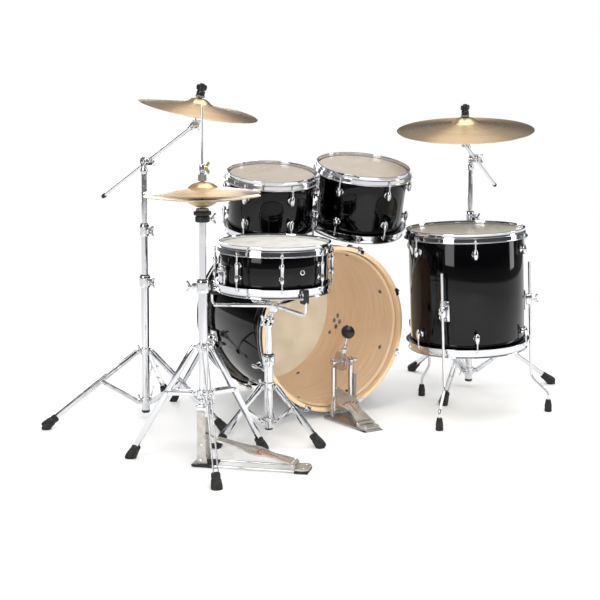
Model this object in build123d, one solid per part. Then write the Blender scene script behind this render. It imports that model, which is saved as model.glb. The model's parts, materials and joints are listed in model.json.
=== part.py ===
from build123d import *
from math import atan2, cos, degrees, hypot, radians, sin, sqrt
import os

# Acoustic drum kit, millimetres. +Y is the way the drummer faces, +X is the drummer's right, +Z is up.
# The layout below is measured from the floor point under the centre of the bass drum's batter edge;
# KIT_ORIGIN is the point of that layout that becomes the part's origin, at the middle of the footprint.
KIT_ORIGIN = (35.6, 22.0)

INCH = 25.4

# Bass drum
BASS_RADIUS = 22 * INCH / 2
BASS_LENGTH = 18 * INCH
BASS_PLY = 8.0
BASS_AXIS_Z = 311.0
BASS_HOOP_RADIUS = BASS_RADIUS + 16.0
BASS_ROD_RADIUS = BASS_RADIUS + 22.5
BASS_LUGS = 8
BASS_LUG_PHASE = 22.5
SPUR_Y = 370.0
SPUR_SHELL_ANGLE = 12.0
SPUR_REACH = (0.35, 0.35)
SPUR_ROD = 8.0

# Drums that stand or hang with a batter head on top
PLY = 7.0
ROD_OFFSET = 15.0
RIM_RISE = 12.0
TOM_12 = {"top": (-150.0, 161.0, 868.0), "lean": (-0.058, -0.186), "phase": -93.0}
TOM_13 = {"top": (216.0, 118.0, 884.0), "lean": (-0.029, -0.2315), "phase": -90.0}
FLOOR_TOM = {"top": (432.0, -212.0, 668.0), "lean": (-0.033, 0.003), "phase": 0.0}
SNARE = {"top": (-345.0, -190.0, 665.0), "lean": (0.0, -0.02), "phase": 22.5}
SNARE_DEPTH = 5.5 * INCH

# Tom holder
HOLDER_Y = 345.0
HOLDER_X = 22.0
HOLDER_TUBE = 11.0
HOLDER_TOP_Z = 762.0
BRACKET_TOP_Z = 656.0

# Floor tom legs
FLOOR_LEG_AZIMUTHS = (90.0, -30.0, -150.0)
FLOOR_FOOT_RADIUS = 285.0
FLOOR_LEG_ROD = 5.0
FLOOR_LEG_KNEE_Z = 125.0
FLOOR_LEG_ELBOW_Z = 66.0
FLOOR_LEG_CENTRE = (446.0, -228.0)

# Stands: centre, direction of the first foot, foot radius, heights of the leg and brace collars
BASKET_HUB = 16.0
SNARE_HINGE_Z = 400.0
BAR_TALL = 13.0
BAR_THICK = 3.0
FOOT_LENGTH = 46.0
HIHAT = {"centre": (-663.0, -303.0), "phase": -108.0, "reach": 257.0, "legs_z": 367.0, "braces_z": 222.0}
CRASH = {"centre": (-585.0, 302.0), "phase": 54.0, "reach": 355.0, "legs_z": 240.0, "braces_z": 62.0}
RIDE = {"centre": (699.0, 89.0), "phase": 95.0, "reach": 335.0, "legs_z": 240.0, "braces_z": 62.0}
SNARE_STAND = {"centre": (-352.0, -165.0), "phase": 59.0, "reach": 200.0, "legs_z": 180.0, "braces_z": 62.0}

# Telescoping cymbal stand posts: outside radius, wall
LOWER_TUBE = (14.3, 1.6)
MIDDLE_TUBE = (11.1, 1.4)
UPPER_TUBE = (9.5, 1.4)
FIRST_CLAMP_Z = 507.0
SECOND_CLAMP_Z = 688.0
BOOM_ROD = 6.4
BOOM_SIDE = 18.0

CRASH_TILTER_Z = 908.0
CRASH_BOOM_END = (-529.0, 53.0, 1038.0)
CRASH_BOOM_TAIL = 294.0
CRASH_LEAN = (0.105, -0.198)
CRASH_RADIUS = 16 * INCH / 2

RIDE_TILTER_Z = 895.0
RIDE_BOOM_END = (548.0, -30.0, 958.0)
RIDE_BOOM_TAIL = 400.0
RIDE_LEAN = (-0.118, -0.126)
RIDE_RADIUS = 20 * INCH / 2

CRASH_STEM = 93.0
RIDE_STEM = 102.0

# Hi-hat
HAT_RADIUS = 14 * INCH / 2
HAT_TUBE_TOP_Z = 571.0
HAT_SEAT_Z = 802.0
HAT_HEIGHT = 34.8
HAT_GAP = 9.0
HAT_ROD_TOP_Z = 1105.0
HAT_ROD = 3.0
HAT_BOARD_AZIMUTH = -44.0
HAT_HEEL_X = 288.0
HAT_TOE_X = 36.0
HAT_HEEL_Z = 24.0
HAT_TOE_Z = 82.0

# Bass drum pedal
PEDAL_AXLE = (-66.0, 206.0)
PEDAL_HEEL = (-218.0, 20.0)
PEDAL_TOE_Y = -32.0
PEDAL_TOE_Z = 98.0
PEDAL_CAM = 36.0
BEATER_REACH = 116.0
BEATER_BACK = 20.7

nodes = {}


def add(name, *shapes):
    """Keep solids, given in the kit's layout, for the node of this name."""
    nodes.setdefault(name, []).extend(shapes)


def unit(vector):
    return Vector(*vector).normalized()


def frame_at(origin, up, ahead=(1, 0, 0)):
    """Location whose z axis is up and whose x axis is as near to ahead as it can be."""
    z_axis = unit(up)
    x_axis = Vector(*ahead) - z_axis * Vector(*ahead).dot(z_axis)
    return Location(Plane(origin=origin, x_dir=x_axis, z_dir=z_axis))


def turn(azimuth, radius=0.0, height=0.0):
    """Location at an azimuth, a radius and a height, with x pointing outward."""
    return Location((0, 0, 0), (0, 0, azimuth)) * Location((radius, 0, height))


def rod(start, end, radius):
    run = Vector(*end) - Vector(*start)
    return Solid.make_cylinder(radius, run.length, Plane(origin=start, z_dir=run))


def tube(start, end, outer, inner):
    return rod(start, end, outer) - rod(start, end, inner)


def block(centre, size, edge=0.0):
    shape = Solid.make_box(*size).moved(Location(tuple(c - s / 2 for c, s in zip(centre, size))))
    return shape.fillet(edge, shape.edges()) if edge else shape


def turned(outline):
    """Solid of revolution about Z, from (radius, height) points."""
    wire = Wire.make_polygon([Vector(r, 0, z) for r, z in outline], close=True)
    return Solid.revolve(Face(wire), 360, Axis.Z)


def bar(start, end, tall, thick, side):
    """Flat bar between two points, standing on edge; side is the direction across its thickness."""
    run = Vector(*end) - Vector(*start)
    plane = Plane(origin=start, x_dir=side, z_dir=run)
    corner = Location((-thick / 2, -tall / 2, 0))
    return Solid.make_box(thick, tall, run.length).moved(plane.location * corner)


def plate(outline, start, thickness, place=Location()):
    """Plate with a closed outline in XY, from height start."""
    face = Face(Wire.make_polygon([Vector(x, y, start) for x, y in outline], close=True))
    return Solid.extrude(face, Vector(0, 0, thickness)).moved(place)


def wing_bolt(reach=18.0):
    """Wing bolt along +X from the origin, with its two wings in the XZ plane."""
    stem = rod((0, 0, 0), (reach, 0, 0), 4.0)
    half = [(reach - 6, 4.5), (reach + 3, 17), (reach + 10, 18), (reach + 9, 8), (reach + 3, 0)]
    outline = half + [(x, -z) for x, z in reversed(half[:-1])]
    face = Face(Wire.make_polygon([Vector(x, -2.2, z) for x, z in outline], close=True))
    return stem.fuse(Solid.extrude(face, Vector(0, 4.4, 0)))


def clamp(radius, height, bore):
    """Post clamp about Z from height 0 up: a split collar with a screw boss on its +X side."""
    body = turned([(bore, 0), (radius, 0), (radius + 1, 4), (radius + 1, height - 4), (radius, height),
                   (bore, height)])
    boss = block((radius + 5, 0, height / 2), (14, 14, height * 0.6))
    boss = boss - rod((0, 0, -1), (0, 0, height + 1), radius - 1)
    return body.fuse(boss)


# ---------------------------------------------------------------- drums


def shell(radius, depth, ply):
    return turned([(radius, -0.6), (radius - 1, 0), (radius - ply, -ply + 1), (radius - ply, ply - 1 - depth),
                   (radius - 1, -depth), (radius, 0.6 - depth)])


def head(radius):
    """Drum head: film on the bearing edge, collar, and the flesh hoop that the rim presses down."""
    return turned([(0, 0.6), (radius + 0.4, 0.6), (radius + 0.9, 0.1), (radius + 0.9, -5.3),
                   (radius + 7.4, -5.3), (radius + 7.4, -12), (radius + 0.4, -12), (radius + 0.4, 0.1),
                   (0, 0.1)])


def rim(radius, azimuths):
    """Triple-flanged steel hoop, with an ear for each key rod."""
    ring = turned([(radius + 17, -20), (radius + 17, -18), (radius + 10, -18), (radius + 10, -3),
                   (radius + 5, -3), (radius + 5, 10), (radius + 9, 10), (radius + 9, RIM_RISE),
                   (radius + 3, RIM_RISE),
                   (radius + 3, -5), (radius + 8, -5), (radius + 8, -20)])
    for azimuth in azimuths:
        ear = block((radius + 15.2, 0, -19), (12.6, 17, 2)).moved(turn(azimuth))
        ring = ring.fuse(ear)
    for azimuth in azimuths:
        ring = ring - rod((0, 0, -25), (0, 0, -10), 3.3).moved(turn(azimuth, radius + ROD_OFFSET))
    return ring


def lug_barrel(top, bottom):
    """Teardrop barrel of a lug about Z, between two heights."""
    middle = (top + bottom) / 2
    return turned([(0, bottom), (3.5, bottom), (7.5, bottom + 8), (8.5, middle), (7.5, top - 9), (5.5, top),
                   (0, top)])


def small_lug(radius, azimuth, top=-40.0, bottom=-76.0):
    """Small cast lug: barrel held off the shell by a round foot."""
    foot = rod((radius + 0.1, 0, (top + bottom) / 2), (radius + ROD_OFFSET, 0, (top + bottom) / 2), 8.0)
    flange = rod((radius + 0.1, 0, (top + bottom) / 2), (radius + 2.6, 0, (top + bottom) / 2), 11.0)
    barrel = lug_barrel(top, bottom).moved(Location((radius + ROD_OFFSET, 0, 0)))
    return barrel.fuse(foot, flange).moved(turn(azimuth))


def key_rod(radius, azimuth, lug_top=-40.0):
    """Key rod with its square head and washer on the rim's ear."""
    shank = rod((0, 0, lug_top), (0, 0, -18), 3.0)
    washer = rod((0, 0, -18), (0, 0, -16.4), 4.9)
    collar = rod((0, 0, -16.4), (0, 0, -12.5), 4.3)
    square = block((0, 0, -8.5), (6.0, 6.0, 8.0))
    return shank.fuse(washer, collar, square).moved(turn(azimuth, radius + ROD_OFFSET))


def top_frame(drum):
    """Location of the drum's batter bearing edge; the rim stands RIM_RISE above it."""
    lean_x, lean_y = drum["lean"]
    up = unit((lean_x, lean_y, 1))
    origin = Vector(*drum["top"]) - up * RIM_RISE
    return frame_at(origin, up)


def flipped(depth):
    """Location that turns a batter-side piece into a resonant-side piece, turning azimuth a into -a."""
    return Location((0, 0, -depth)) * Location((0, 0, 0), (180, 0, 0))


def tom(name, drum, radius, depth):
    place = top_frame(drum)
    azimuths = [drum["phase"] + 60 * k for k in range(6)]
    mirrored = [-a for a in azimuths]
    under = place * flipped(depth)
    add(name + "_shell", shell(radius, depth, PLY).moved(place))
    add(name + "_heads", head(radius).moved(place), head(radius).moved(under))
    add(name + "_hoops", rim(radius, azimuths).moved(place), rim(radius, mirrored).moved(under))
    for azimuth in azimuths:
        fittings = (small_lug(radius, azimuth), key_rod(radius, azimuth))
        add(name + "_hardware", *[piece.moved(place) for piece in fittings])
    for azimuth in mirrored:
        fittings = (small_lug(radius, azimuth), key_rod(radius, azimuth))
        add(name + "_hardware", *[piece.moved(under) for piece in fittings])
    return place


def bass_drum():
    place = frame_at((0, 0, BASS_AXIS_Z), (0, -1, 0))
    front = place * flipped(BASS_LENGTH)
    azimuths = [BASS_LUG_PHASE + 360 / BASS_LUGS * k for k in range(BASS_LUGS)]
    add("bass_shell", shell(BASS_RADIUS, BASS_LENGTH, BASS_PLY).moved(place))
    add("bass_batter_head", head(BASS_RADIUS).moved(place))
    add("bass_front_head", head(BASS_RADIUS).moved(front))
    wood_hoop = turned([(BASS_HOOP_RADIUS, -16), (BASS_HOOP_RADIUS, 22), (BASS_RADIUS + 2, 22),
                        (BASS_RADIUS + 2, -5),
                        (BASS_RADIUS + 8.4, -5), (BASS_RADIUS + 8.4, -16)])
    add("bass_hoops", wood_hoop.moved(place), wood_hoop.moved(front))
    for side, sign in ((place, 1), (front, -1)):
        for azimuth in azimuths:
            at = side * turn(sign * azimuth)
            add("bass_hardware", bass_claw().moved(at), bass_lug().moved(at))
    add("bass_hardware", air_vent(BASS_RADIUS, BASS_PLY).moved(place * turn(-5, 0, -BASS_LENGTH / 2)))


def bass_claw():
    """Claw hook over the wooden hoop, with its key rod running back to the lug."""
    lip = block((BASS_HOOP_RADIUS - 3.6, 0, 23.4), (15.8, 26, 2.6))
    web = block((BASS_HOOP_RADIUS + 2.3, 0, 11.2), (4.0, 26, 27))
    boss = rod((BASS_ROD_RADIUS, 0, -2), (BASS_ROD_RADIUS, 0, 12), 6.5)
    shank = rod((BASS_ROD_RADIUS, 0, -38), (BASS_ROD_RADIUS, 0, 16), 3.0)
    square = block((BASS_ROD_RADIUS, 0, 19), (6, 6, 8))
    return lip.fuse(web, boss, shank, square)


def bass_lug():
    barrel = lug_barrel(-38, -76).moved(Location((BASS_ROD_RADIUS, 0, 0)))
    foot = rod((BASS_RADIUS + 0.1, 0, -57), (BASS_ROD_RADIUS, 0, -57), 8.5)
    flange = rod((BASS_RADIUS + 0.1, 0, -57), (BASS_RADIUS + 3, 0, -57), 12.5)
    return barrel.fuse(foot, flange)


def air_vent(radius, ply):
    """Grommet round the shell's vent, standing on the shell at azimuth 0."""
    return tube((radius + 0.15, 0, 0), (radius + 2.2, 0, 0), 9.0, 5.0)


def spur_axis(side):
    """Unit axis of a spur's hinge, pointing out of the drum; side is -1 left or +1 right."""
    return unit((side * 0.928, 0, 0.373))


def spur_pivot(side):
    angle = radians(SPUR_SHELL_ANGLE)
    reach = BASS_RADIUS + 27.0
    return Vector(side * reach * cos(angle), SPUR_Y, BASS_AXIS_Z - reach * sin(angle))


def spur_tip(side):
    pivot = spur_pivot(side)
    drop = pivot.Z - FOOT_LENGTH * 0.62
    return pivot + Vector(side * SPUR_REACH[0], SPUR_REACH[1], -0.87) * (drop / 0.87)


def spurs():
    for side, name in ((-1, "spur_left"), (1, "spur_right")):
        pivot = spur_pivot(side)
        axis = spur_axis(side)
        angle = radians(SPUR_SHELL_ANGLE)
        outward = Vector(side * cos(angle), 0, -sin(angle))
        place = frame_at(pivot - outward * 26.5, outward, (0, 1, 0))
        pad = block((0, 0, 3.0), (46, 40, 5.0), 1.5).moved(place)
        disc = rod(pivot - axis * 18, pivot - axis * 9.5, 15.0)
        pillar = rod(pivot - outward * 22, pivot - axis * 17, 6.5).fuse(disc)
        add("bass_hardware", pad.fuse(pillar))
        tip = spur_tip(side)
        down = (tip - pivot).normalized()
        hub = rod(pivot - axis * 9.0, pivot + axis * 9.0, 15.0)
        sleeve = rod(pivot + down * 17, pivot + down * 36, 11.5)
        add(name, hub.fuse(rod(pivot + down * 4, tip, SPUR_ROD), sleeve))
        foot = rod(tip, tip + down * FOOT_LENGTH, 12.5) - floor_cut()
        add(name, foot)


def floor_cut():
    """Everything just below the floor."""
    return Solid.make_box(4000, 4000, 200).moved(Location((-2000, -2000, -200)))


# ---------------------------------------------------------------- tom holder


def holder_pivot(side):
    return Vector(side * HOLDER_X, HOLDER_Y, HOLDER_TOP_Z)


def tom_holder():
    top = BASS_AXIS_Z + BASS_RADIUS
    saddle = rod((0, 0, BASS_AXIS_Z), (0, 600, BASS_AXIS_Z), BASS_RADIUS + 0.15)
    base = block((0, HOLDER_Y, top + 2.2), (92, 62, 6)) - saddle
    body = block((0, HOLDER_Y, (top + 4 + BRACKET_TOP_Z) / 2), (76, 36, BRACKET_TOP_Z - top - 4), 5.0)
    socket_floor = top + 12
    for side in (-1, 1):
        x = side * HOLDER_X
        body = body - rod((x, HOLDER_Y, socket_floor), (x, HOLDER_Y, 700), HOLDER_TUBE + 0.3)
    bracket = body.fuse(base)
    for side in (-1, 1):
        seat = Location((side * HOLDER_X, HOLDER_Y + 17, 628), (0, 0, 90))
        bracket = bracket.fuse(wing_bolt(14).moved(seat))
    add("tom_bracket", bracket)
    for x, y in ((-32, -22), (32, -22), (0, 24)):
        bolt_z = sqrt((BASS_RADIUS - BASS_PLY) ** 2 - x * x) + BASS_AXIS_Z
        add("tom_bracket", rod((x, HOLDER_Y + y, bolt_z - 7.5), (x, HOLDER_Y + y, bolt_z - 1.6), 8.0))
    for side, name, drum, radius in ((-1, "tom_12", TOM_12, 6 * INCH), (1, "tom_13", TOM_13, 6.5 * INCH)):
        foot = Vector(side * HOLDER_X, HOLDER_Y, 0)
        lock = turned([(HOLDER_TUBE + 0.3, 0.4), (17, 0.4), (17, 16), (HOLDER_TUBE + 0.3, 16)])
        lock = lock.fuse(block((0, 19, 8.2), (10, 8, 12)))
        add(name + "_lock", lock.moved(Location((foot.X, foot.Y, BRACKET_TOP_Z))))
        pivot = holder_pivot(side)
        arm = rod(foot + Vector(0, 0, 604), pivot - Vector(0, 0, 19.5), HOLDER_TUBE)
        cheek = rod(pivot - Vector(side * 0.4, 0, 0), pivot - Vector(side * 11.5, 0, 0), 18.0)
        neck = block(pivot - Vector(side * 5.9, 0, 20), (10, 20, 14))
        collar = rod(pivot - Vector(0, 0, 34), pivot - Vector(0, 0, 24), HOLDER_TUBE + 3)
        add(name + "_arm", arm.fuse(cheek, neck, collar))
        place = top_frame(drum)
        depth = 8 * INCH if side < 0 else 9 * INCH
        hang = place * Location((0, 0, -depth / 2))
        centre = hang.position
        up = unit((*drum["lean"], 1))
        toward = pivot - centre
        toward = toward - up * toward.dot(up)
        azimuth = toward.normalized()
        shell_face = frame_at(centre + azimuth * (radius + 0.2), azimuth, (up.X, up.Y, up.Z))
        pad = block((0, 0, 3.0), (58, 34, 5.4), 1.5)
        boss = block((0, 0, 14), (36, 26, 20), 4.0)
        mount = pad.fuse(boss).moved(shell_face)
        socket = shell_face * Location((0, 0, 14))
        knuckle = rod(pivot + Vector(side * 0.4, 0, 0), pivot + Vector(side * 18, 0, 0), 18.0)
        link_start = pivot + Vector(side * 9, 0, 0)
        link = rod(link_start, socket.position, 6.3)
        add(name + "_hardware", mount.fuse(link, knuckle))


# ---------------------------------------------------------------- floor tom


def floor_leg_point(azimuth, radius, z):
    angle = radians(azimuth)
    return Vector(FLOOR_LEG_CENTRE[0] + radius * cos(angle), FLOOR_LEG_CENTRE[1] + radius * sin(angle), z)


def floor_tom():
    radius = 8 * INCH
    depth = 16 * INCH
    place = tom("floor_tom", FLOOR_TOM, radius, depth)
    up = unit((*FLOOR_TOM["lean"], 1))
    for azimuth in FLOOR_LEG_AZIMUTHS:
        at = place * turn(azimuth, radius, -depth * 0.63)
        pad = block((2.8, 0, 0), (5.2, 34, 70), 1.5)
        boss = block((20, 0, 0), (32, 24, 40), 5.0) - rod((25, 0, -40), (25, 0, 40), FLOOR_LEG_ROD + 0.35)
        bracket = pad.fuse(boss, wing_bolt(10).moved(Location((34, 0, 0))))
        add("floor_tom_hardware", bracket.moved(at))
        through = at * Location((25, 0, 0))
        top = through.position + up * 135
        knee = top - up * (top.Z - FLOOR_LEG_KNEE_Z)
        foot = floor_leg_point(azimuth, FLOOR_FOOT_RADIUS, FLOOR_LEG_ELBOW_Z)
        ankle = floor_leg_point(azimuth, FLOOR_FOOT_RADIUS, 30)
        path = FilletPolyline(tuple(top), tuple(knee), tuple(foot), tuple(ankle), radius=(30, 12))
        section = Plane(origin=top, z_dir=knee - top) * Circle(FLOOR_LEG_ROD)
        add("floor_tom_legs", sweep(section, path=path).solid())
        sole = rod(ankle, (ankle.X, ankle.Y, 0), 13.0)
        neck = Solid.make_cone(9, 13, 14, Plane(origin=ankle + Vector(0, 0, 14), z_dir=(0, 0, -1)))
        sleeve = neck.fuse(sole) - sweep(section, path=path).solid()
        add("rubber_feet", sleeve)


# ---------------------------------------------------------------- snare drum and its stand


def snare_drum():
    radius = 7 * INCH
    place = top_frame(SNARE)
    under = place * flipped(SNARE_DEPTH)
    azimuths = [SNARE["phase"] + 45 * k for k in range(8)]
    add("snare_shell", shell(radius, SNARE_DEPTH, PLY).moved(place))
    add("snare_heads", head(radius).moved(place), head(radius).moved(under))
    mirrored = [-a for a in azimuths]
    gates = [block((radius + 12, 0, -4), (24, 52, 20)).moved(turn(a)) for a in (0, 180)]
    bottom_rim = rim(radius, mirrored)
    for gate in gates:
        bottom_rim = bottom_rim - gate.moved(Location((0, 0, 13)))
    add("snare_hoops", rim(radius, azimuths).moved(place), bottom_rim.moved(under))
    for azimuth in azimuths:
        middle = -SNARE_DEPTH / 2
        barrel = turned([(0, middle - 32), (4.5, middle - 32), (6.5, middle - 28), (6.5, middle + 28),
                         (4.5, middle + 32), (0, middle + 32)]).moved(Location((radius + ROD_OFFSET, 0, 0)))
        reach = radius + ROD_OFFSET
        feet = [rod((radius + 0.1, 0, middle + z), (reach, 0, middle + z), 5.0) for z in (-20, 20)]
        add("snare_hardware", barrel.fuse(*feet).moved(place * turn(azimuth)))
        add("snare_hardware", key_rod(radius, azimuth, -SNARE_DEPTH / 2 + 32).moved(place))
    for azimuth in mirrored:
        add("snare_hardware", key_rod(radius, azimuth, -SNARE_DEPTH / 2 + 32).moved(under))
    add("snare_hardware", air_vent(radius, PLY).moved(place * turn(-90, 0, -SNARE_DEPTH / 2)))
    butt = block((radius + 9.2, 0, -SNARE_DEPTH + 44), (18, 26, 44), 3.0)
    add("snare_hardware", butt.moved(place))
    strainer = block((-radius - 7.2, 0, -SNARE_DEPTH + 52), (14, 30, 62), 3.0)
    slide = block((-radius - 18.5, 0, -SNARE_DEPTH + 44), (8, 20, 36), 1.5)
    add("snare_hardware", strainer.fuse(slide).moved(place))
    lever_plate = block((-radius - 20.4, 0, -SNARE_DEPTH + 92), (5, 17, 40), 2.0)
    hub = rod((-radius - 20.4, -10, -SNARE_DEPTH + 74), (-radius - 20.4, 10, -SNARE_DEPTH + 74), 5.5)
    add("snare_lever", lever_plate.fuse(hub).moved(place))
    wires = [rod((-122, y * 2.1, -2.1), (122, y * 2.1, -2.1), 0.8) for y in range(-10, 11)]
    ends = [block((x, 0, -2.0), (12, 46, 2.4)) for x in (-128.2, 128.2)]
    straps = [block((x, 0, -2.4), (46, 18, 0.8)) for x in (-157.5, 157.5)]
    below = place * Location((0, 0, -SNARE_DEPTH - 0.6 + 0.7))
    add("snare_wires", *[piece.moved(below) for piece in wires + ends + straps])


def snare_stand():
    x, y = SNARE_STAND["centre"]
    stand_legs("snare_stand_base", SNARE_STAND, 14.3)
    add("snare_stand_base", tube((x, y, 40), (x, y, 262), 14.3, 12.6))
    add("snare_stand_base", clamp(19.0, 34, 14.4).moved(Location((x, y, 250), (0, 0, -120))))
    add("snare_stand_base", wing_bolt(12).moved(Location((x, y, 267), (0, 0, -120)) * Location((30, 0, 0))))
    inner = tube((x, y, 150), (x, y, SNARE_HINGE_Z - 16), 11.1, 9.3)
    yoke = block((x - 5.9, y, SNARE_HINGE_Z - 6), (11, 24, 28), 3.0)
    hinge_disc = rod((x - 11.4, y, SNARE_HINGE_Z), (x - 0.4, y, SNARE_HINGE_Z), 15.0)
    add("snare_stand_post", inner.fuse(yoke, hinge_disc))
    basket()


def basket():
    """Three-arm basket that grips the snare drum's lower hoop, with its knob under the hub."""
    x, y = SNARE_STAND["centre"]
    place = top_frame(SNARE) * Location((0, 0, -SNARE_DEPTH))
    hub_place = place * Location((0, 0, -66))
    hub_at = hub_place.position
    knuckle = rod((x + 0.4, y, SNARE_HINGE_Z), (x + 13, y, SNARE_HINGE_Z), 15.0)
    post = rod((x + 7, y, SNARE_HINGE_Z + 4), hub_at, 7.0)
    hub = turned([(0, -20), (13, -20), (BASKET_HUB, -14), (BASKET_HUB, 8), (12, 14), (0, 14)])
    hub = hub.moved(hub_place)
    add("snare_basket", knuckle.fuse(post, hub))
    reach = 7 * INCH + 26
    for azimuth in (30, 150, 270):
        arm = block(((reach + 12) / 2, 0, 2), (reach - 12, 11, 5)) - rod((0, 0, -30), (0, 0, 30), BASKET_HUB)
        riser = block((reach - 2.5, 0, 40.25), (5, 11, 71.5))
        add("snare_basket", arm.moved(hub_place * turn(azimuth)), riser.moved(hub_place * turn(azimuth)))
    for azimuth in (30, 150, 270):
        grip = block((7 * INCH + 11.5, 0, 43), (23, 16, 7), 2.0)
        hook = block((7 * INCH + 22.5, 0, 66), (2.6, 15, 38))
        add("snare_basket", grip.fuse(hook).moved(hub_place * turn(azimuth)))


# ---------------------------------------------------------------- stands


def stand_legs(name, stand, tube_radius):
    """Double-braced tripod: collars round the post, twin-bar legs and braces, rivets and rubber feet."""
    x, y = stand["centre"]
    centre = Location((x, y, 0))
    reach, legs_z, braces_z = stand["reach"], stand["legs_z"], stand["braces_z"]
    ear = 30.0
    ankle_r, ankle_z = reach - 30, 34.0
    span = ankle_r - ear
    joint_r = ear + span * 0.45
    joint_z = legs_z + (ankle_z - legs_z) * 0.45
    slope = unit((ankle_r - ear, 0, ankle_z - legs_z))
    for z, half in ((legs_z, 5.2), (braces_z, 8.7)):
        ring = tube((0, 0, z - 13), (0, 0, z + 13), tube_radius + 5.5, tube_radius + 0.05)
        for k in range(3):
            lobe = block((ear - 4, 0, z), (20, 2 * half, 15))
            lobe = lobe - rod((0, 0, z - 20), (0, 0, z + 20), tube_radius + 3)
            ring = ring.fuse(lobe.moved(turn(stand["phase"] + 120 * k)))
        add(name, ring.moved(centre))
    for k in range(3):
        at = centre * turn(stand["phase"] + 120 * k)
        for side in (-1, 1):
            leg = bar((ear, side * 7, legs_z), (ankle_r, side * 7, ankle_z), BAR_TALL, BAR_THICK, (0, 1, 0))
            low, knee = (ear, side * 10.5, braces_z), (joint_r, side * 10.5, joint_z)
            brace = bar(low, knee, BAR_TALL, BAR_THICK, (0, 1, 0))
            add(name, leg.moved(at), brace.moved(at))
            for point, face in (((ear, legs_z), 8.5), ((joint_r, joint_z), 12.0), ((ear, braces_z), 12.0)):
                head_start = (point[0], side * face, point[1])
                add(name, rod(head_start, (point[0], side * (face + 2.5), point[1]), 5.0).moved(at))
        back = Vector(ankle_r, 0, ankle_z) - slope * 18
        spacer = block((0, 0, 0), (16, 10.8, 10)).moved(frame_at(back, (0, 0, 1)))
        add(name, spacer.moved(at))
        start = Vector(ankle_r, 0, ankle_z)
        end = start + slope * FOOT_LENGTH
        foot = Solid.make_cone(12.5, 15.5, FOOT_LENGTH, Plane(origin=start, z_dir=slope))
        lift = end.Z - 8.0
        foot = foot.fuse(rod((end.X - 8, 0, 0), (end.X - 8, 0, max(lift, 12.0)), 15.0)) - floor_cut()
        add("rubber_feet", foot.moved(at))


def boom_frame(stand, tilter_z, boom_end):
    """Pivot of the boom, its direction, and the horizontal axis that it tilts about."""
    x, y = stand["centre"]
    pivot = Vector(x, y, tilter_z)
    flat = Vector(boom_end[0] - x, boom_end[1] - y, 0).normalized()
    side = Vector(0, 0, 1).cross(flat)
    direction = (Vector(*boom_end) - pivot).normalized()
    return pivot, direction, side


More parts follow.
